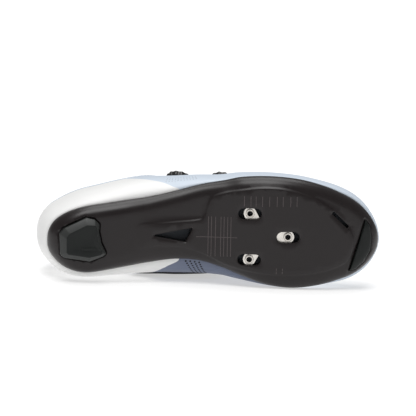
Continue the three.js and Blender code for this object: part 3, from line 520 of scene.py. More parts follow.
# Repeats a bar, a peg or a bead over points, each turned to its surface and its heading
def repeatOver(name, kind, places, size, surface):
    points, facing, heading, reach = (np.array(part, float) for part in zip(*places))
    mesh = bpy.data.meshes.new(name)
    mesh.from_pydata([tuple(toRow @ Vector(point)) for point in points], [], [])
    for label, vectors in (('facing', facing), ('heading', heading)):
        turned = np.array([tuple(turnToRow @ Vector(vector)) for vector in vectors])
        mesh.attributes.new(label, 'FLOAT_VECTOR', 'POINT').data.foreach_set('vector', turned.ravel())
    mesh.attributes.new('reach', 'FLOAT', 'POINT').data.foreach_set('value', reach)
    piece = bpy.data.objects.new(name, mesh)
    bpy.context.collection.objects.link(piece)
    tree = bpy.data.node_groups.new(name, 'GeometryNodeTree')
    tree.interface.new_socket('Geometry', in_out='OUTPUT', socket_type='NodeSocketGeometry')
    tree.interface.new_socket('Places', in_out='INPUT', socket_type='NodeSocketGeometry')
    for label in ('Length', 'Width', 'Height'):
        tree.interface.new_socket(label, in_out='INPUT', socket_type='NodeSocketFloat')
    tree.interface.new_socket('Surface', in_out='INPUT', socket_type='NodeSocketMaterial')
    given = addNode(tree, 'NodeGroupInput').outputs
    named = {}
    for label, form in (('facing', 'FLOAT_VECTOR'), ('heading', 'FLOAT_VECTOR'), ('reach', 'FLOAT')):
        named[label] = addNode(tree, 'GeometryNodeInputNamedAttribute', {'data_type': form}, {'Name': label})
    shapes = {
        'bar': ('GeometryNodeMeshCube', {'Size': (1, 1, 1)}),
        'peg': ('GeometryNodeMeshCylinder', {'Vertices': 12, 'Radius': 0.5, 'Depth': 1.0}),
        'bead': ('GeometryNodeMeshUVSphere', {'Segments': 8, 'Rings': 6, 'Radius': 0.5}),
    }
    shape = addNode(tree, shapes[kind][0], None, shapes[kind][1])
    turn = addNode(tree, 'FunctionNodeAxesToRotation', {'primary_axis': 'Z', 'secondary_axis': 'X'},
                   {0: named['facing'].outputs[0], 1: named['heading'].outputs[0]})
    long = addNode(tree, 'ShaderNodeMath', {'operation': 'MULTIPLY'},
                   {0: given['Length'], 1: named['reach'].outputs[0]})
    scale = addNode(tree, 'ShaderNodeCombineXYZ', None,
                    {'X': long.outputs[0], 'Y': given['Width'], 'Z': given['Height']})
    copies = addNode(tree, 'GeometryNodeInstanceOnPoints', None,
                     {'Points': given['Places'], 'Instance': shape.outputs['Mesh'],
                      'Rotation': turn.outputs[0], 'Scale': scale.outputs[0]})
    real = addNode(tree, 'GeometryNodeRealizeInstances', None, {0: copies.outputs[0]})
    painted = addNode(tree, 'GeometryNodeSetMaterial', None,
                      {0: real.outputs[0], 'Material': given['Surface']})
    addNode(tree, 'NodeGroupOutput', None, {0: painted.outputs[0]})
    modifier = piece.modifiers.new('repeat', 'NODES')
    modifier.node_group = tree
    sizes = dict(zip(('Length', 'Width', 'Height'), [part / 1000 for part in size]))
    for item in tree.interface.items_tree:
        if item.name in sizes:
            modifier[item.identifier] = sizes[item.name]
        elif item.name == 'Surface':
            modifier[item.identifier] = material[surface]
    return applied(piece, 40)


# The sole: one moulding with a raised platform, seats for its pads, vents and slots for the cleat nuts
sole = {
    'thickness': 5.4,
    'rimWidth': 3.6,
    'rimBlend': 9,
    'sideWall': 10,
    'step': 1.3,
    'stepWidth': 2.3,
    'fadeFrom': 0.24,
    'fadeTo': 0.36,
    'seatEdge': 1.0,
    'seatEdgeDepth': 0.8,
    'slotEdgeDepth': 0.36,
    'wallAngles': (82, 74, 66, 58, 49, 39, 28, 15, 0),
    'innerRings': (1.8, 3.6, 5, 7, 9, 11, 12.6),
    'tile': 4.0,
}
platformOutline = [
    (0.262, -0.158), (0.350, -0.182), (0.440, -0.203), (0.461, -0.235), (0.472, -0.345), (0.486, -0.412),
    (0.523, -0.455), (0.566, -0.480), (0.639, -0.508), (0.713, -0.489), (0.789, -0.416), (0.842, -0.322),
    (0.890, -0.190), (0.916, -0.040), (0.914, 0.090), (0.894, 0.187), (0.842, 0.254), (0.780, 0.288),
    (0.719, 0.300), (0.659, 0.292), (0.590, 0.266), (0.530, 0.220), (0.478, 0.143), (0.430, 0.088),
    (0.383, 0.060), (0.320, 0.052), (0.262, 0.058),
]
heelPadOutline = [
    (0.032, -0.085), (0.047, -0.134), (0.111, -0.224), (0.136, -0.208), (0.150, -0.166), (0.149, -0.098),
    (0.156, 0.000), (0.171, 0.093), (0.162, 0.117), (0.122, 0.164), (0.047, 0.129), (0.036, 0.105),
]
heelPadTread = [
    (0.052, -0.050), (0.062, -0.088), (0.112, -0.162), (0.137, -0.160), (0.143, -0.130), (0.143, -0.070),
    (0.147, 0.010), (0.160, 0.084), (0.153, 0.100), (0.120, 0.122), (0.058, 0.094), (0.052, 0.076),
]
toePadOutline = [
    (0.950, -0.200), (0.966, -0.150), (0.973, -0.030), (0.970, 0.080), (0.950, 0.185), (0.922, 0.250),
    (0.902, 0.262), (0.931, -0.008),
]
waistVentOutline = [(0.318, -0.055), (0.428, -0.110), (0.409, 0.002)]
toeVent = {'along': 0.871, 'across': -0.204, 'length': 19, 'width': 2.6, 'angle': 0.75}
pads = {
    'heelTop': 10.2, 'heelBevel': 3.4, 'heelDish': 0.7, 'dishShare': 0.62, 'softEdge': 0.7,
    'toeDepth': 2.4, 'toeProud': 1.4, 'toeEdgeShare': 0.3, 'toeRings': (0.4, 0.9), 'toeTile': 3.0,
    'bar': {'from': 27, 'to': 39, 'across': 4.6, 'width': 2.2, 'height': 0.6},
}
cleats = {
    'along': 0.5975, 'across': -0.053, 'spacing': 37.8, 'reach': 31.3, 'slotLength': 18.9, 'slotWidth': 9,
    'boss': 7.2, 'bore': 4.4, 'plate': 1.6, 'corner': 5.1, 'slide': 5, 'cover': 4, 'sink': 1.5,
}


def placed(outline):
    return np.array(outline, float) * (shoe['length'], shoe['width'])


def denser(loop, most):
    parts = []
    for start, end in zip(loop, np.roll(loop, -1, 0)):
        steps = max(1, math.ceil(np.linalg.norm(end - start) / most))
        parts += [blend(start, end, i / steps) for i in range(steps)]
    return np.array(parts)


ringTurns = (1 - np.cos(np.linspace(0, math.pi, 151))) / 2
ringAlong = np.concatenate([ringTurns, ringTurns[-2:0:-1]])
ringSide = np.concatenate([-np.ones(151), np.ones(149)])
rimLoop = rimPoint(ringAlong, ringSide)[:, :2]
rimOut = rimOutward(ringAlong, ringSide)[:, :2]
platformLoop = closedCurve(placed(platformOutline), 6)
heelPadLoop = denser(placed(heelPadOutline), 3)
toePadLoop = denser(placed(toePadOutline), 3)
waistVentLoop = denser(rounded(placed(waistVentOutline), 0.6, 6), 3)
ventRun = np.array([math.cos(toeVent['angle']), math.sin(toeVent['angle'])])
ventHalf = (toeVent['length'] - toeVent['width']) / 2
ventCentre = placed((toeVent['along'], toeVent['across']))
ventEnds = [ventCentre - ventRun * ventHalf, ventCentre + ventRun * ventHalf]
toeVentLoop = denser(rounded(ventEnds, toeVent['width'] / 2), 3)
boltHome = placed((cleats['along'], cleats['across']))
bolts = [(0, -cleats['spacing'] / 2), (cleats['reach'], 0), (0, cleats['spacing'] / 2)]
slotHalf = (cleats['slotLength'] - cleats['slotWidth']) / 2
slotLoops = [
    denser(rounded([boltHome + bolt + (shift, 0) for shift in (-slotHalf, slotHalf)],
                   cleats['slotWidth'] / 2, 16), 2)
    for bolt in np.array(bolts)
]
slide = cleats['slide']
pocketShifts = ((0, -slide), (0, slide), (1, slide), (2, slide), (2, -slide))
pocketCorners = [boltHome + bolts[i] + (shift, 0) for i, shift in pocketShifts]
pocketLoop = denser(rounded(pocketCorners, cleats['corner'] + shoe['gap']), 3)


def lowHeight(x):
    return read(soleTable, 'bottom', x / shoe['length']) * shoe['rim']


def undersideHeight(plan):
    low = lowHeight(plan[:, 0])
    rim = read(soleTable, 'rim', plan[:, 0] / shoe['length']) * shoe['rim']
    left = np.clip(1 - distanceTo(plan, rimLoop) / sole['sideWall'], 0, 1)
    return blend(low, rim, 1 - np.sqrt(1 - left * left))


# The moulded face: the underside with its step, and soft edges round the seats and vents
def mouldedHeight(plan):
    fade = smooth(sole['fadeFrom'], sole['fadeTo'], plan[:, 0] / shoe['length'])
    height = undersideHeight(plan)
    height -= sole['step'] * fade * smooth(0, sole['stepWidth'], depthInside(plan, platformLoop))
    seats = (heelSeatLoop, toeSeatLoop, waistVentLoop, toeVentLoop)
    edges = [(loop, sole['seatEdgeDepth']) for loop in seats]
    edges += [(loop, sole['slotEdgeDepth']) for loop in slotLoops]
    for loop, depth in edges:
        height += depth * (1 - smooth(0, sole['seatEdge'], distanceTo(plan, loop)))
    return height


def insideHeight(plan):
    low = lowHeight(plan[:, 0]) + sole['thickness']
    rim = read(soleTable, 'rim', plan[:, 0] / shoe['length']) * shoe['rim']
    inset = distanceTo(plan, rimLoop)
    return blend(rim, low, smooth(sole['rimWidth'], sole['rimWidth'] + sole['rimBlend'], inset))


def cleatHeight(x):
    fade = smooth(sole['fadeFrom'], sole['fadeTo'], x / shoe['length'])
    return lowHeight(x) - sole['step'] * fade


cleatBase = float(cleatHeight(boltHome[0]))
cleatDrop = (cleatBase - float(cleatHeight(boltHome[0] + cleats['reach']))) / cleats['reach']
# The plate lies tilted, so at its depth the pocket sits a little further along
pocketLoop = pocketLoop + ((cleats['cover'] + cleats['plate'] / 2) * cleatDrop, 0)


def cleatPlane(x, depth):
    return cleatBase - (x - boltHome[0]) * cleatDrop + depth


heelSeatLoop = movedOut(heelPadLoop, shoe['gap'])
toeSeatLoop = movedOut(toePadLoop, shoe['gap'])


def makeSole():
    insets = [sole['sideWall'] * (1 - math.sin(math.radians(angle))) for angle in sole['wallAngles']]
    rings = [rimLoop - rimOut * inset for inset in insets]
    near = [movedOut(loop, sole['seatEdge'] * part) for part in (0.5, 1)
            for loop in (heelSeatLoop, toeSeatLoop, waistVentLoop, toeVentLoop, *slotLoops)]
    steps = [movedOut(platformLoop, -sole['stepWidth'] * part) for part in (0, 0.33, 0.67, 1)]
    through = [waistVentLoop, toeVentLoop]
    holes = [heelSeatLoop, toeSeatLoop, *through, *slotLoops]
    parts = []

    def addPart(plan, faces, heights):
        parts.append((np.column_stack([plan, heights]), np.asarray(faces)))

    def addWall(loop, low, high):
        count = len(loop)
        points = np.concatenate([np.column_stack([loop, low]), np.column_stack([loop, high])])
        faces = [(i, (i + 1) % count, count + (i + 1) % count, count + i) for i in range(count)]
        parts.append((points, np.array(faces)))

    plan, faces = tiled(rimLoop, holes, steps, np.concatenate(rings + near), sole['tile'])
    heights = mouldedHeight(plan)
    onRim = distanceTo(plan, rimLoop) < 1e-4
    rim = read(soleTable, 'rim', plan[:, 0] / shoe['length']) * shoe['rim']
    addPart(plan, faces, np.where(onRim, rim, heights))
    inner = [rimLoop - rimOut * inset for inset in sole['innerRings']]
    plan, faces = tiled(rimLoop, [pocketLoop, *through], (), np.concatenate(inner), sole['tile'])
    addPart(plan, faces, insideHeight(plan))
    ledge = cleats['cover'] - shoe['gap']
    plan, faces = tiled(pocketLoop, slotLoops, (), (), sole['tile'])
    addPart(plan, faces, cleatPlane(plan[:, 0], ledge))
    addWall(pocketLoop, cleatPlane(pocketLoop[:, 0], ledge), insideHeight(pocketLoop))
    for loop in slotLoops:
        addWall(loop, mouldedHeight(loop), cleatPlane(loop[:, 0], ledge))
    for loop in through:
        addWall(loop, mouldedHeight(loop), insideHeight(loop))
    heelRoof = np.full(len(heelSeatLoop), pads['heelTop'] + shoe['gap'])
    addWall(heelSeatLoop, mouldedHeight(heelSeatLoop), heelRoof)
    plan, faces = tiled(heelSeatLoop, spacing=sole['tile'])
    addPart(plan, faces, np.full(len(plan), heelRoof[0]))
    addWall(toeSeatLoop, mouldedHeight(toeSeatLoop), undersideHeight(toeSeatLoop) + pads['toeDepth'])
    plan, faces = tiled(toeSeatLoop, spacing=sole['tile'])
    addPart(plan, faces, undersideHeight(plan) + pads['toeDepth'])
    points, polygons = [], []
    for partPoints, partFaces in parts:
        polygons += [tuple(face + len(points)) for face in partFaces]
        points += list(partPoints)
    return finished(newPiece('sole_moulding', points, polygons, ['mouldedNylon']), ['sole'])


makeSole()
print('sole made')


# Raised marks for setting the cleats: plain rows of fine bars
marks = {
    'length': 2.0,
    'overlap': 1.02,
    'width': 0.5,
    'height': 0.3,
    'rows': [
        {'at': [130.9, 133.4, 136.7, 141.0, 143.5, 146.4, 149.0], 'from': -20.7, 'to': 12.1},
        {'at': [159.3, 164.5, 168.6, 173.8, 179.5, 185.6, 190.5, 196.7, 201.9], 'from': -38.4, 'to': -30.0},
        {'at': [186.0, 191.0], 'from': 20.5, 'to': 25.5},
    ],
    'centre': {'across': -3.8, 'from': 121, 'to': 154},
}


def makeMarks():
    places = []
    for row in marks['rows']:
        for x in row['at']:
            count = round((row['to'] - row['from']) / marks['length'])
            for i in range(count):
                places.append(((x, blend(row['from'], row['to'], (i + 0.5) / count)), (0, 1, 0)))
    centre = marks['centre']
    count = round((centre['to'] - centre['from']) / marks['length'])
    for i in range(count):
        places.append(((blend(centre['from'], centre['to'], (i + 0.5) / count), centre['across']), (1, 0, 0)))
    plan = np.array([place for place, _ in places])
    heights = mouldedHeight(plan)
    slopes = (mouldedHeight(plan + (0.5, 0)) - mouldedHeight(plan - (0.5, 0)))
    spots = []
    for (x, y), z, slope, (_, heading) in zip(plan, heights, slopes, places):
        along = (1, 0, slope) if heading[0] else (0, 1, 0)
        spots.append(((x, y, z), (slope, 0, -1), along, marks['overlap']))
    size = (marks['length'], marks['width'], marks['height'])
    # The bars take the lighter nylon, a painted highlight
    finished(repeatOver('cleat_marks', 'bar', spots, size, 'highlitMarkNylon'))


makeMarks()
print('marks made')


# Walk pads
def makeHeelPad():
    outer, tread = placed(heelPadOutline), placed(heelPadTread)
    middle = tread.mean(axis=0)
    dish = blend(middle, tread, pads['dishShare'])
    levels = [(outer, pads['heelTop']), (outer, pads['heelBevel']), (tread, 0), (dish, pads['heelDish'])]
    points = [(x, y, z) for loop, z in levels for x, y in loop]
    count = len(outer)
    faces = []
    for level in range(3):
        for i in range(count):
            a, b = level * count + i, level * count + (i + 1) % count
            faces.append((a, b, b + count, a + count))
    faces += [tuple(range(count)), tuple(range(3 * count, 4 * count))]
    # The bevel faces take the lighter rubber, a painted highlight
    onBevel = [0] * count + [1] * count + [0] * (count + 2)
    piece = newPiece('heel_walk_pad', points, faces, ['mouldedRubber', 'highlitBevelRubber'], onBevel, sharp=30)
    softenEdges(piece, pads['softEdge'], 3, 12)
    finished(applied(piece, 50), ['heel_pad'])
    bar = pads['bar']
    spots = [((blend(bar['from'], bar['to'], 0.5), bar['across'], pads['heelDish'] - bar['height'] / 2),
              (0, 0, -1), (1, 0, 0.02), 1)]
    size = (bar['to'] - bar['from'], bar['width'], bar['height'])
    finished(repeatOver('heel_pad_bar', 'bar', spots, size, 'mouldedRubber'))


def makeToePad():
    inner = movedOut(toePadLoop, -shoe['gap'])
    rings = [movedOut(inner, -inset) for inset in pads['toeRings']]
    plan, faces = tiled(inner, (), (), np.concatenate(rings), pads['toeTile'])
    edge = np.clip(distanceTo(plan, inner) / pads['toeRings'][-1], 0, 1)
    low = undersideHeight(plan)
    proud = pads['toeProud'] * blend(pads['toeEdgeShare'], 1, np.sqrt(1 - (1 - edge) ** 2))
    points, polygons = slab(plan, faces, low - proud, low + pads['toeDepth'] - shoe['gap'], inner)
    piece = newPiece('toe_walk_pad', points, polygons, ['mouldedRubber'], sharp=45)
    finished(piece, ['toe_pad'])


makeHeelPad()
makeToePad()
print('pads made')


# Outline of the nut plate, with an arm from its middle to each bolt
def plateOutline():
    middle = np.array((cleats['reach'] / 3, 0))
    turns = [math.atan2(*(np.array(bolt) - middle)[::-1]) for bolt in bolts]
    loop = []
    for i, (bolt, turn) in enumerate(zip(bolts, turns)):
        for angle in turn + np.linspace(-0.5, 0.5, 15) * math.pi:
            loop.append(np.array(bolt) + cleats['corner'] * np.array((math.cos(angle), math.sin(angle))))
        half = (turns[(i + 1) % len(bolts)] - turn) % (2 * math.pi) / 2
        reach = cleats['corner'] / math.sin(half)
        loop.append(middle + reach * np.array((math.cos(turn + half), math.sin(turn + half))))
    return denser(np.array(loop), 2.5)


# Cleat nuts on their plate, with ringed collars and threads
def makeNuts():
    depth = cleats['cover']
    points, faces = [], []
    tilt = math.atan(cleatDrop)
    frameHome = np.array([boltHome[0], boltHome[1], cleatBase])
    angles = np.arange(48) / 48 * 2 * math.pi

    def put(local):
        x, y, z = local
        tilted = (x * math.cos(tilt) + z * math.sin(tilt), y, -x * math.sin(tilt) + z * math.cos(tilt))
        return frameHome + tilted

    def addBand(low, high):
        first, count = len(points), len(low)
        points.extend(put(spot) for spot in [*low, *high])
        faces.extend((first + i, first + (i + 1) % count, first + count + (i + 1) % count, first + count + i)
                     for i in range(count))

    def circle(centre, radius, z):
        return [(centre[0] + radius * math.cos(a), centre[1] + radius * math.sin(a), z) for a in angles]

    outline = plateOutline()
    bore, boss, sink = cleats['bore'] / 2, cleats['boss'] / 2, cleats['sink']
    bosses = [np.array(circle(bolt, boss, 0))[:, :2] for bolt in bolts]
    bores = [np.array(circle(bolt, bore, 0))[:, :2] for bolt in bolts]
    back = depth + cleats['plate']
    for z, holes in ((depth, bosses), (back, bores)):
        plan, tiles = tiled(outline, holes, (), (), 3)
        first = len(points)
        points.extend(put((x, y, z)) for x, y in plan)
        faces.extend(tuple(tile + first) for tile in tiles)
    addBand([(x, y, depth) for x, y in outline], [(x, y, back) for x, y in outline])
    thread = [(bore + 0.22 * (k % 2), sink + 0.35 + 0.4 * k) for k in range(9)]
    profile = [(boss, depth), (boss, sink + 0.25), (boss - 0.25, sink), (bore + 0.95, sink),
               (bore + 0.8, sink + 0.3), (bore + 0.6, sink + 0.3), (bore + 0.5, sink + 0.05),
               (bore + 0.2, sink + 0.05), *thread, (bore, back)]
    for bolt in bolts:
        for (lowRadius, lowZ), (highRadius, highZ) in zip(profile, profile[1:]):
            addBand(circle(bolt, lowRadius, lowZ), circle(bolt, highRadius, highZ))
    piece = newPiece('cleat_nuts', points, faces, ['platedSteel'], sharp=30)
    finished(piece, ['cleat_nut_plate'], 'cleat_nuts')


makeNuts()
print('cleat nuts made')

# The upper: one shell from the sole's rim to the edge of its opening, lined inside
upper = {
    'stations': 150,
    'rows': 44,
    'liningRows': 26,
    'tape': 3.2,
    'padding': 3.0,
    'paddingDepth': 30,
    'paddingFront': (0.27, 0.34),
    'cornerRound': 1.8,
}


def openness(points):
    along = points[..., 0] / shoe['length']
    collar = points[..., 2] - read(collarTable, 'height', along) * shoe['instep']
    collar = np.where(along < 0.50, collar, -20)
    last = throatTable['along'][-1]
    close = np.clip((along - last) / (throatTable['front'] - last), 0, 1)
    half = read(throatTable, 'half', along) * np.sqrt(1 - close ** 2)
    across = np.abs(points[..., 1] - middleShift(along) * shoe['crestCentring'])
    inThroat = (along > throatTable['along'][0]) & (along < throatTable['front']) & (points[..., 2] > 54)
    throat = np.where(inThroat, half * shoe['width'] - across, -20)
    top = np.maximum(collar, throat)
    roundness = upper['cornerRound']
    return top + roundness * np.log(np.exp((collar - top) / roundness) + np.exp((throat - top) / roundness))


def edgeShares(along, side, table=None):
    shares = np.linspace(0.3, 1, 600)
    points = lastPoint(along[:, None], side[:, None], shares[None, :])
    value = openness(points) if table is None else table(points)
    found = value > 0
    first = np.argmax(found, axis=1)
    result = np.ones(len(along))
    for i, k in enumerate(first):
        if found[i, k] and k > 0:
            u = value[i, k - 1] / (value[i, k - 1] - value[i, k])
            result[i] = blend(shares[k - 1], shares[k], u)
    return result


def upperColumns():
    turns = (1 - np.cos(np.linspace(0, math.pi, upper['stations'] + 1))) / 2
    front = (throatTable['front'] - shoe['crestBack']) / (shoe['crestFront'] - shoe['crestBack'])
    extra = front - np.array([0, 0.0006, 0.0016, 0.003, 0.005, 0.0075, 0.0105])
    turns = np.sort(np.concatenate([turns[np.min(np.abs(turns[:, None] - extra), axis=1) > 0.0008], extra]))
    along = np.concatenate([turns, turns[-2:0:-1]])
    side = np.concatenate([-np.ones(len(turns)), np.ones(len(turns) - 2)])
    return along, side


columnAlong, columnSide = upperColumns()
columnEdge = edgeShares(columnAlong, columnSide)
# The columns that end at the edge of the opening
cut = columnEdge < 0.9999
cutAlong, cutSide, cutEdge = columnAlong[cut], columnSide[cut], columnEdge[cut]

# Where the white heel ends, seen from the side, as millimetres along and up
heelBoundary = {
    'height': [24.2, 25.5, 28, 32, 36.5, 40.6, 44, 60, 80, 100],
    'outer': [108, 103, 99.5, 94.5, 86.5, 81.9, 78, 69, 60, 54],
    'inner': [109.5, 100, 94.5, 90.6, 88, 86, 84, 75, 66, 60],
    # Bounds of the darker inner waist area, partly a deeper blue and partly painted shade
    'shadedPanelTop': 0.46,
    'shadedPanelFront': 205,
    'shadedPanelLean': 70,
}
# Soft creases: where they cross the shoe, their width and depth
creases = [
    {'along': 0.585, 'slant': 0.05, 'width': 4.0, 'depth': 0.35, 'from': 0.35, 'to': 0.80},
    {'along': 0.635, 'slant': -0.04, 'width': 5.0, 'depth': 0.40, 'from': 0.40, 'to': 0.92},
    {'along': 0.690, 'slant': 0.03, 'width': 4.5, 'depth': 0.30, 'from': 0.45, 'to': 0.95},
    {'along': 0.300, 'slant': 0.10, 'width': 6.0, 'depth': 0.50, 'from': 0.30, 'to': 0.55},
]


def creaseDepth(points, share):
    depth = np.zeros(share.shape)
    for crease in creases:
        line = crease['along'] + crease['slant'] * share
        apart = (points[..., 0] / shoe['length'] - line) * shoe['length'] / crease['width']
        strength = smooth(crease['from'], crease['from'] + 0.15, share) \
            * (1 - smooth(crease['to'] - 0.35, crease['to'], share))
        depth += crease['depth'] * strength * np.exp(-apart ** 2)
        depth -= crease['depth'] * 0.5 * strength * np.exp(-(apart - 1.6) ** 2)
    return depth


def makeUpper():
    count = len(columnAlong)
    u = np.linspace(0, 1, upper['rows'])
    rowShare = np.where(u < 0.35, u / 0.35 * shoe['bendShare'],
                        shoe['bendShare'] + (u - 0.35) / 0.65 * (1 - shoe['bendShare']))
    bend = shoe['bendShare']
    squeezed = bend + (rowShare[None, :] - bend) / (1 - bend) * (columnEdge[:, None] - bend)
    scale = np.where(rowShare[None, :] > bend, squeezed, rowShare[None, :])
    along, side = columnAlong[:, None], columnSide[:, None]
    base = lastPoint(along, side, scale)
    normal = lastNormal(along, side, scale)
    foot = rimOutward(columnAlong, columnSide)[:, None, :]
    lean = np.clip(scale / bend, 0, 1)[..., None]
    direction = unit(foot + (normal - foot) * lean)
    outer = base - direction * creaseDepth(base, scale)[..., None]
    v = np.linspace(1, 0, upper['liningRows'])
    innerShare = bend * 0.2 + (columnEdge[:, None] - bend * 0.2) * v[None, :] ** 1.1
    innerBase = lastPoint(along, side, innerShare)
    innerNormal = lastNormal(along, side, innerShare)
    innerDirection = unit(foot + (innerNormal - foot) * np.clip(innerShare / bend, 0, 1)[..., None])
    drop = np.linalg.norm(innerBase - innerBase[:, :1], axis=-1)
    atEdge = innerBase[:, :1, 0] / shoe['length']
    weight = 1 - smooth(*upper['paddingFront'], atEdge)
    swell = np.sin(np.clip(drop / upper['paddingDepth'], 0, 1) * math.pi) ** 0.8 * weight * upper['padding']
    inner = innerBase - innerDirection * (shoe['wall'] + swell)[..., None]
    low = base[:, :1] - foot * shoe['wall']
    points = np.concatenate([low, outer, inner, low], axis=1)
    rows = points.shape[1]
    faces = gridFaces(count, rows)
    kind = np.tile((np.arange(rows - 1) > upper['rows']).astype(int), count)
    height, x = points[..., 2], points[..., 0]
    levels = heelBoundary['height']
    line = {name: np.interp(height, levels, heelBoundary[name]) for name in ('outer', 'inner')}
    outerSide = columnSide[:, None] < 0
    reach = np.where(outerSide, line['outer'], line['inner']) - x
    allShares = np.concatenate([scale[:, :1] * 0, scale, innerShare, scale[:, :1] * 0], axis=1)
    # The darker inner waist area: partly a deeper blue, partly painted shade
    shadedPanelFront = heelBoundary['shadedPanelFront'] - heelBoundary['shadedPanelLean'] * allShares
    panelAndShade = np.minimum((heelBoundary['shadedPanelTop'] - allShares) * shoe['width'], shadedPanelFront - x)
    panelAndShade = np.where(outerSide, -20, np.minimum(panelAndShade, -reach))
    piece = newPiece('upper_shell', points.reshape(-1, 3), faces, ['microfibre', 'knitLining'], kind,
                     {'heelReach': reach.ravel(), 'innerPanelAndShade': panelAndShade.ravel()}, 50)
    finished(piece, ['upper'])
    return outer.reshape(-1, 3), gridFaces(count, upper['rows'])


skinPoints, skinFaces = makeUpper()
skinTree = BVHTree.FromPolygons([tuple(p) for p in skinPoints], [tuple(int(i) for i in f) for f in skinFaces])
# The last without its openings, for what reaches over their edges
lastRows = np.linspace(0, 1, upper['rows'])
lastSpots = lastPoint(columnAlong[:, None], columnSide[:, None], lastRows[None, :]).reshape(-1, 3)
lastTree = BVHTree.FromPolygons([tuple(p) for p in lastSpots], [tuple(int(i) for i in f) for f in skinFaces])
print('upper made')


# Evenly spaced points on a line, and their headings
def resampled(points, spacing, closed=False):
    points = np.array(points, float)
    if closed:
        points = np.concatenate([points, points[:1]])
    lengths = np.concatenate([[0], np.cumsum(np.linalg.norm(np.diff(points, axis=0), axis=1))])
    count = max(2, round(lengths[-1] / spacing))
    at = np.linspace(0, lengths[-1], count + 1)[:-1] if closed else np.linspace(0, lengths[-1], count)
    return np.stack([np.interp(at, lengths, points[:, i]) for i in range(3)], axis=1)


def headings(points, closed=False):
    if closed:
        return unit(np.roll(points, -1, 0) - np.roll(points, 1, 0))
    return unit(np.gradient(points, axis=0))


# Tube along points with a facing direction at each, width across and height out
def sweep(points, facing, wide, high, steps=12, closed=False):
    ahead = headings(points, closed)
    across = unit(np.cross(ahead, facing))
    out = np.cross(across, ahead)
    angles = np.arange(steps) / steps * 2 * math.pi
    ring = across[:, None] * np.cos(angles)[None, :, None] * wide / 2 \
        + out[:, None] * np.sin(angles)[None, :, None] * high / 2
    return points[:, None] + ring


def tubePiece(name, points, facing, wide, high, surface, steps=12, closed=False):
    rings = sweep(points, facing, wide, high, steps, closed)
    return newPiece(name, rings.reshape(-1, 3), tubeFaces(len(points), steps, closed), [surface])


def makeTape():
    normal = lastNormal(cutAlong, cutSide, cutEdge)
    centre = lastPoint(cutAlong, cutSide, cutEdge) - normal * shoe['wall'] / 2
    path = resampled(centre, 1.6, True)
    nearest = np.array([np.argmin(np.linalg.norm(centre - p, axis=1)) for p in path])
    for _ in range(3):
        path = (np.roll(path, 1, 0) + 2 * path + np.roll(path, -1, 0)) / 4
    facing = unit(normal[nearest])
    for _ in range(4):
        facing = unit(np.roll(facing, 1, 0) + facing + np.roll(facing, -1, 0))
    piece = tubePiece('edge_tape', path, facing, upper['tape'], upper['tape'], 'edgeTape', 14, True)
    finished(piece)


makeTape()
print('edge tape made')

# Insole: cloth on foam, following the inside of the sole
insole = {
    'inset': 3.2,
    'thick': 3.0,
    'softEdge': 1.5,
    'edgeShare': 0.35,
    'rings': (0.4, 0.9, 1.5, 3, 5, 7.5, 10),
}


def makeInsole():
    outer = rimLoop - rimOut * insole['inset']
    rings = [outer - rimOut * inset for inset in insole['rings']]
    plan, faces = tiled(outer, (), (), np.concatenate(rings), sole['tile'])
    inset = distanceTo(plan, outer)
    soft = np.sqrt(1 - (1 - np.clip(inset / insole['softEdge'], 0, 1)) ** 2)
    low = insideHeight(plan) + shoe['gap']
    high = low + insole['thick'] * blend(insole['edgeShare'], 1, soft)
    points, polygons = slab(plan, faces, high, low, outer)
    piece = newPiece('insole_pad', points, polygons, ['insoleCloth'], sharp=60)
    finished(piece, ['insole'])


makeInsole()
print('insole made')

# Tongue: a padded strip under the throat, with sewn channels across it
tongue = {
    'back': 0.331,
    'backLimit': 0.20,
    'cornerRound': 7,
    'front': 0.690,
    'thick': 3.0,
    'puff': 1.5,
    'stations': 90,
    'across': 18,
    'channelSpacing': 15,
    'channelWidth': 1.3,
    'channelDepth': 0.9,
    'softEnd': 0.02,
}


def crestPlace(along):
    return (np.asarray(along) - shoe['crestBack']) / (shoe['crestFront'] - shoe['crestBack'])


def tongueReach(points):
    along = points[..., 0] / shoe['length']
    half = read(tongueTable, 'half', along) * shoe['width']
    return half - np.abs(points[..., 1] - middleShift(along) * shoe['crestCentring'])


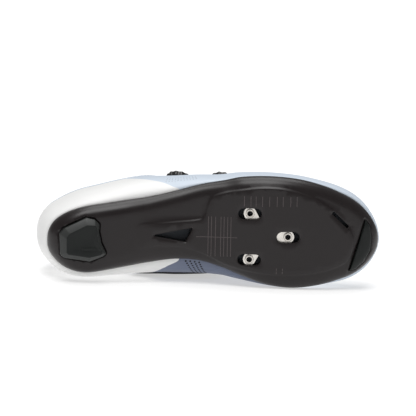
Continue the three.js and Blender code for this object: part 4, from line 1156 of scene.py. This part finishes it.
def makeTongue():
    line = crestPlace(np.linspace(tongue['backLimit'], tongue['front'], 3 * tongue['stations']))
    edges = [edgeShares(line, np.full(len(line), sign), tongueReach) for sign in (-1.0, 1.0)]
    v = np.sin(np.linspace(-1, 1, 2 * tongue['across'] + 1) * math.pi / 2)
    side = np.where(v < 0, -1.0, 1.0)
    along, share = np.zeros((2, tongue['stations'], len(v)))
    for j, out in enumerate(np.abs(v)):
        shares = 1 - out * (1 - edges[int(v[j] >= 0)])
        reached = lastPoint(line, np.full(len(line), side[j]), shares)[:, 0]
        back = tongue['back'] * shoe['length'] + tongue['cornerRound'] * out ** 6
        wanted = blend(back, reached[-1], np.linspace(0, 1, tongue['stations']))
        along[:, j] = np.interp(wanted, reached, line)
        share[:, j] = np.interp(wanted, reached, shares)
    base = lastPoint(along, side[None, :], share)
    normal = lastNormal(along, side[None, :], share)
    t = np.linspace(0, 1, tongue['stations'])[:, None]
    endSoft = np.clip(np.minimum(t, 1 - t) / tongue['softEnd'], 0, 1)
    soft = np.sqrt(1 - np.abs(v)[None, :] ** 6) * np.sqrt(1 - (1 - endSoft) ** 2)
    run = base[:, :, 0] - base[0, 0, 0]
    throw = np.abs((run / tongue['channelSpacing']) % 1 - 0.5) * tongue['channelSpacing']
    inner = (1 - smooth(0.55, 0.8, np.abs(v)))[None, :]
    channel = np.exp(-((tongue['channelSpacing'] / 2 - throw) / tongue['channelWidth']) ** 2) * inner
    middle = np.exp(-(base[:, :, 1] - base[:, tongue['across'], 1][:, None]) ** 2 / 2.2)
    clear = -shoe['wall'] - shoe['gap']
    puff = tongue['puff'] * smooth(0.0, 0.5, 1 - np.abs(v))[None, :] * smooth(0.0, 0.12, 1 - t)
    sewn = tongue['channelDepth'] * np.maximum(channel, middle * inner)
    top = clear - tongue['thick'] / 2 * (1 - soft) + (puff - sewn) * endSoft
    low = clear - tongue['thick'] + tongue['thick'] / 2 * (1 - soft)
    upperSide = base + normal * top[..., None]
    lowerSide = (base + normal * low[..., None])[:, ::-1]
    points = np.concatenate([upperSide, lowerSide], axis=1)
    faces = tubeFaces(*points.shape[:2])
    piece = newPiece('tongue_pad', points.reshape(-1, 3), faces, ['tongueKnit'], sharp=70)
    finished(piece, ['tongue'])


makeTongue()
print('tongue made')

# Black strap over the inner side of the upper, cut to its outline seen from the side
strap = {'thick': 1.3, 'soft': 0.4, 'columns': 110, 'rows': 60}
strapOutline = [
    (0.262, 0.42), (0.300, 0.36), (0.380, 0.335), (0.460, 0.35), (0.520, 0.41), (0.560, 0.52), (0.585, 0.70),
    (0.570, 1.00), (0.450, 1.10), (0.420, 0.93), (0.390, 0.78), (0.350, 0.63), (0.300, 0.51),
]


def makeStrap():
    along = np.linspace(0.15, 0.68, strap['columns'])
    side = np.ones(len(along))
    edge = edgeShares(along, side) - 0.018
    share = 0.12 + (edge[:, None] - 0.12) * np.linspace(0, 1, strap['rows'])[None, :]
    low = onUpper(along[:, None], side[:, None], share, np.full(share.shape, shoe['gap']))
    high = onUpper(along[:, None], side[:, None], share, np.full(share.shape, shoe['gap'] + strap['thick']))
    points = np.concatenate([high, low[:, ::-1]], axis=1)
    faces = tubeFaces(*points.shape[:2])
    piece = newPiece('instep_band', points.reshape(-1, 3), faces, ['blackMicrofibre'])
    outline = closedCurve(np.array(strapOutline) * (shoe['length'], shoe['instep']), 10)
    count = len(outline)
    prism = [(x, y, z) for y in (-10, 80) for x, z in outline]
    sides = [(i, (i + 1) % count, count + (i + 1) % count, count + i) for i in range(count)]
    ends = [tuple(range(count)), tuple(range(count, 2 * count))]
    cutter = newPiece('band_cutter', prism, sides + ends, ['blackMicrofibre'])
    cut = piece.modifiers.new('cut', 'BOOLEAN')
    cut.operation, cut.object, cut.solver = 'INTERSECT', cutter, 'EXACT'
    applied(piece)
    bpy.data.objects.remove(cutter)
    softenEdges(piece, strap['soft'], 2, 50)
    applied(piece, 50)
    finished(piece, ['instep_strap'])


makeStrap()
print('strap made')

# Lace dials on the outer shoulder, with their wires and guides
dials = {
    'places': [
        {'name': '1', 'along': 0.415, 'share': 0.655, 'guideAlong': 0.415},
        {'name': '2', 'along': 0.550, 'share': 0.67, 'guideAlong': 0.530},
    ],
    'baseLength': 31, 'baseWidth': 25, 'baseHeight': 3.2, 'baseLip': 1.1, 'knob': 22, 'knobHeight': 4.4,
    'grips': 12, 'gripDepth': 0.9, 'leverLength': 19, 'leverWidth': 5.5, 'leverHeight': 2.2,
    'lowRise': 0.45, 'humpRise': 1.25, 'humpAt': 3.2, 'humpReach': 2.4, 'guideSoft': 0.5,
    'baseSteps': 96, 'baseLevels': (1.0, 0.985, 0.95, 0.90, 0.84, 0.78, 0.73, 0.70, 0.66, 0.3),
    'leverLevels': ((1.0, -0.35), (1.0, 0.3), (0.93, 0.75), (0.78, 0.95), (0.5, 1.0)),
}
wires = {
    'width': 1.4,
    'half': [
        (-1, 0.735, 1.9, 0.020, 0), (-1, 0.79, 2.3, 0.025, 0.05), (-1, 0.90, 2.4, 0.030, 0.3),
        (1, 0.96, 2.6, 0.031, 0.5), (1, 0.85, 3.4, 0.030, 0.8), (1, 0.78, 3.7, 0.028, 0.95),
        (1, 0.725, 3.8, 0.020, 1), (1, 0.705, 3.8, 0, 1),
    ],
}


def upperFrame(along, side, share):
    out = lastNormal(along, side, share)
    home = lastPoint(along, side, share)
    ahead = lastPoint(along + probe, side, share) - home
    ahead = unit(ahead - out * np.dot(ahead, out))
    return home, ahead, np.cross(out, ahead), out


def inFrame(place, local):
    home, ahead, across, out = place
    local = np.asarray(local, float)
    return home + local[..., :1] * ahead + local[..., 1:2] * across + local[..., 2:3] * out


# Height of the upper's skin over a place of a dial, in the dial's frame
def skinHeight(place, x, y):
    start = inFrame(place, np.array([x, y, 20.0]))
    hit = lastTree.ray_cast(Vector(start), Vector(-place[3]))[0]
    return -dials['baseHeight'] if hit is None else float(np.dot(np.array(hit) - place[0], place[3]))


def makeDial(dial):
    place = upperFrame(dial['along'], -1.0, dial['share'])
    steps, levels = dials['baseSteps'], dials['baseLevels']
    rings, under = [], []
    for i in range(steps):
        angle = 2 * math.pi * i / steps
        x, y = dials['baseLength'] / 2 * math.cos(angle), dials['baseWidth'] / 2 * math.sin(angle)
        skin = skinHeight(place, x * 0.985, y * 0.985)
        column = []
        for level in levels:
            rise = smooth(1.0, 0.70, level) if level < 1 else 0
            curl = max(0, (level - 0.9) / 0.1)
            lip = skin + shoe['gap'] + dials['baseLip'] * math.sqrt(max(0, 1 - curl ** 2))
            column.append((x * level, y * level, blend(lip, dials['baseHeight'], rise)))
        rings.append(column)
        under.append((x * 0.97, y * 0.97, skin + shoe['gap']))
    points = [spot for column, low in zip(rings, under) for spot in (low, *column)]
    faces = cappedFaces(steps, len(levels) + 1)
    shellName = 'dial_base_' + dial['name'] + '_shell'
    base = newPiece(shellName, inFrame(place, points), faces, ['dialNylon'], sharp=42)
    finished(base, ['dial_base_' + dial['name']])
    low = dials['baseHeight'] + shoe['gap']
    top = low + dials['knobHeight']
    profile = [(0.80, low), (0.955, low), (1.0, low + 0.5), (1.0, top - 1.1), (0.965, top - 0.35),
               (0.90, top), (0.74, top + 0.1), (0.70, top - 0.25), (0.66, top - 0.3)]
    steps = dials['grips'] * 12
    points = []
    for i in range(steps):
        angle = 2 * math.pi * i / steps
        wave = 0.5 - 0.5 * math.cos(angle * dials['grips'])
        for radius, z in profile:
            deep = dials['gripDepth'] * wave * float(smooth(0.7, 0.95, radius))
            size = dials['knob'] / 2 * radius - deep
            points.append((size * math.cos(angle), size * math.sin(angle), z))
    faces = cappedFaces(steps, len(profile))
    gripName = 'dial_knob_' + dial['name'] + '_grip'
    knob = newPiece(gripName, inFrame(place, points), faces, ['dialNylon'], sharp=40)
    finished(knob, ['dial_knob_' + dial['name']])
    half = (dials['leverLength'] - dials['leverWidth']) / 2
    points = []
    loop = rounded([(-half, 0), (half, 0)], dials['leverWidth'] / 2, 20)
    for x, y in loop:
        shift = max(-half, min(half, x))
        off = (x - dials['humpAt']) / dials['humpReach']
        hump = dials['lowRise'] + dials['humpRise'] * math.exp(-off ** 2)
        for grow, rise in dials['leverLevels']:
            points.append((shift + (x - shift) * grow, y * grow, top + dials['leverHeight'] * rise * hump))
    faces = cappedFaces(len(loop), len(dials['leverLevels']))
    lever = newPiece('dial_lever_' + dial['name'], inFrame(place, points), faces, ['dialNylon'], sharp=45)
    finished(lever)


# Smooth curve through points in space, slower where they lie close together
def spaceCurve(points, perSpan):
    points = np.array(points, float)
    padded = np.concatenate([[2 * points[0] - points[1]], points, [2 * points[-1] - points[-2]]])
    curve = []
    for i in range(1, len(padded) - 2):
        p = padded[i - 1:i + 3]
        gaps = np.maximum(np.linalg.norm(np.diff(p, axis=0), axis=1) ** 0.5, 1e-4)
        start = (p[1] - p[0]) / gaps[0] - (p[2] - p[0]) / (gaps[0] + gaps[1]) + (p[2] - p[1]) / gaps[1]
        end = (p[2] - p[1]) / gaps[1] - (p[3] - p[1]) / (gaps[1] + gaps[2]) + (p[3] - p[2]) / gaps[2]
        start, end, rise = start * gaps[1], end * gaps[1], p[2] - p[1]
        for u in np.arange(perSpan) / perSpan:
            curve.append(p[1] + u * (start + u * (3 * rise - 2 * start - end + u * (start + end - 2 * rise))))
    return np.array(curve + [points[-1]])


def makeWire(dial):
    sides = []
    for sign in (-1, 1):
        spots = [onUpper(blend(dial['along'], dial['guideAlong'], toGuide) + sign * spread, float(side), share,
                         np.array(lift)) for side, share, lift, spread, toGuide in wires['half']]
        sides.append(spots)
    path = resampled(spaceCurve([*sides[0], *sides[1][-2::-1]], 14), 0.9)
    out = np.array([skinTree.find_nearest(Vector(p))[1] for p in path])
    piece = tubePiece('lace_wire_' + dial['name'] + '_cord', path, unit(out), wires['width'], wires['width'],
                      'braidedWire', 10)
    finished(piece, ['lace_wire_' + dial['name']])


# A copy of a frame piece with soft edges
def softened(node, name, width, surface):
    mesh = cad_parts[node].data.copy()
    mesh.name = name
    work = bmesh.new()
    work.from_mesh(mesh)
    bmesh.ops.remove_doubles(work, verts=work.verts, dist=1e-6)
    bmesh.ops.dissolve_limit(work, angle_limit=math.radians(1), verts=work.verts, edges=work.edges)
    work.to_mesh(mesh)
    work.free()
    mesh.materials.clear()
    mesh.materials.append(material[surface])
    piece = bpy.data.objects.new(name, mesh)
    bpy.context.collection.objects.link(piece)
    softenEdges(piece, width, 3, 40)
    return finished(applied(piece, 45), [node])


for dial in dials['places']:
    makeDial(dial)
    makeWire(dial)
    guideName = 'wire_guide_' + dial['name']
    softened(guideName, guideName + '_block', dials['guideSoft'], 'dialNylon')
print('dials, wires and guides made')

# Holes and stitches of the upper
trim = {
    'innerHole': 1.6,
    'outerHole': 0.6,
    'holeDepth': 0.35,
    'stitch': 2.1,
    'stitchGap': 1.1,
    'stitchWidth': 0.55,
    'stitchHeight': 0.4,
    'edgeInset': 3.6,
    'holeLift': 0.04,
    'stitchLift': 0.12,
}
# Slanted rows of holes on the inner waist and finer rows by the dials, as places along and shares up
holeRows = [
    {'side': 1, 'from': (0.416 + 0.0137 * row, 0.022), 'to': (0.484 + 0.0137 * row, 0.32), 'count': 15}
    for row in range(4)
] + [
    {'side': -1, 'from': (0.362 + 0.004 * row, 0.145 + 0.03 * row), 'to': (0.450, 0.14 + 0.03 * row),
     'count': 11}
    for row in range(3)
]


def makeHoles(name, side, width):
    spots = []
    for row in holeRows:
        if row['side'] != side:
            continue
        u = np.linspace(0, 1, row['count'])
        along, share = blend(row['from'][0], row['to'][0], u), blend(row['from'][1], row['to'][1], u)
        sides = np.full(row['count'], float(side))
        points = onUpper(along, sides, share, np.full(row['count'], trim['holeLift'] - trim['holeDepth'] / 2))
        normals = lastNormal(along, sides, share)
        spots += [(point, normal, (1, 0, 0), 1) for point, normal in zip(points, normals)]
    # Each hole is a dark peg: the lining behind it plus painted shade in the hole
    finished(repeatOver(name, 'peg', spots, (width, width, trim['holeDepth']), 'pinholeShade'))


# Places of the stitches round a closed line on the skin
def stitchSpots(line):
    path = resampled(line, trim['stitch'] + trim['stitchGap'], True)
    ahead = headings(path, True)
    spots = []
    for point, heading in zip(path, ahead):
        near, normal, *_ = skinTree.find_nearest(Vector(point))
        away = np.array(normal)
        spots.append((np.array(near) + away * trim['stitchLift'], away, heading, 1))
    return spots


def belowEdge(distance):
    top = lastPoint(cutAlong, cutSide, cutEdge)
    speed = np.linalg.norm(top - lastPoint(cutAlong, cutSide, cutEdge - 0.01), axis=1) / 0.01
    return lastPoint(cutAlong, cutSide, cutEdge - distance / speed)


def makeStitches():
    line = belowEdge(trim['edgeInset'])
    spots = stitchSpots(line)
    size = (trim['stitch'], trim['stitchWidth'], trim['stitchHeight'])
    finished(repeatOver('edge_stitches', 'bead', spots, size, 'thread'))


makeHoles('inner_holes', 1, trim['innerHole'])
makeHoles('outer_holes', -1, trim['outerHole'])
makeStitches()
print('holes and stitches made')

# Camera: the photograph looks at the sole from a little behind it and from the outer side
view = {
    'fromAim': (-0.1219, -0.1467, -0.9816),
    'distance': 2.0,
    'aim': (133.4, -4.2, 8.0),
    'aimPixel': (212, 237.4),
    'frameSize': 416,
    'perPixel': 0.000815,
}


def makeCamera():
    back = (turnToRow @ Vector(view['fromAim'])).normalized()
    toes = turnToRow @ Vector((1, 0, 0))
    aim = toRow @ Vector(view['aim'])
    right = (toes - toes.dot(back) * back).normalized()
    up = back.cross(right)
    home = aim + back * view['distance']
    offset = [(view['aimPixel'][i] - view['frameSize'] / 2) * view['perPixel'] for i in (0, 1)]
    target = aim - right * offset[0] + up * offset[1]
    back = (home - target).normalized()
    right = (right - right.dot(back) * back).normalized()
    up = back.cross(right)
    camera = bpy.data.cameras.new('camera')
    camera.lens = camera.sensor_width * view['distance'] / (view['frameSize'] * view['perPixel'])
    camera.clip_end = 60
    holder = bpy.data.objects.new('camera', camera)
    holder.matrix_world = Matrix.Translation(home) @ Matrix((right, up, back)).transposed().to_4x4()
    bpy.context.collection.objects.link(holder)
    bpy.context.scene.camera = holder


studio = {
    'floorHalf': 14,
    'sky': '#ffffff',
    'skyStrength': 0.18,
    'suns': [
        {'name': 'front_softbox', 'from': (-0.12, -0.30, 1.0), 'strength': 2.05, 'spread': 38},
        {'name': 'back_softbox', 'from': (0.05, 0.40, 1.0), 'strength': 1.15, 'spread': 40},
    ],
}


def makeStudio():
    half = studio['floorHalf']
    mesh = bpy.data.meshes.new('floor')
    corners = [(-half, -half, 0), (half, -half, 0), (half, half, 0), (-half, half, 0)]
    mesh.from_pydata(corners, [], [(0, 1, 2, 3)])
    mesh.materials.append(material['frostedTable'])
    floor = bpy.data.objects.new('floor', mesh)
    bpy.context.collection.objects.link(floor)
    world = bpy.data.worlds.new('sky')
    world.use_nodes = True
    background = world.node_tree.nodes['Background']
    background.inputs['Color'].default_value = colour(studio['sky'])
    background.inputs['Strength'].default_value = studio['skyStrength']
    bpy.context.scene.world = world
    for lamp in studio['suns']:
        sun = bpy.data.lights.new(lamp['name'], 'SUN')
        sun.energy = lamp['strength']
        sun.angle = math.radians(lamp['spread'])
        holder = bpy.data.objects.new(lamp['name'], sun)
        holder.rotation_euler = Vector(lamp['from']).to_track_quat('Z', 'Y').to_euler()
        bpy.context.collection.objects.link(holder)
    bpy.context.scene.view_settings.view_transform = 'Standard'


makeCamera()
makeStudio()
print('camera and studio made')
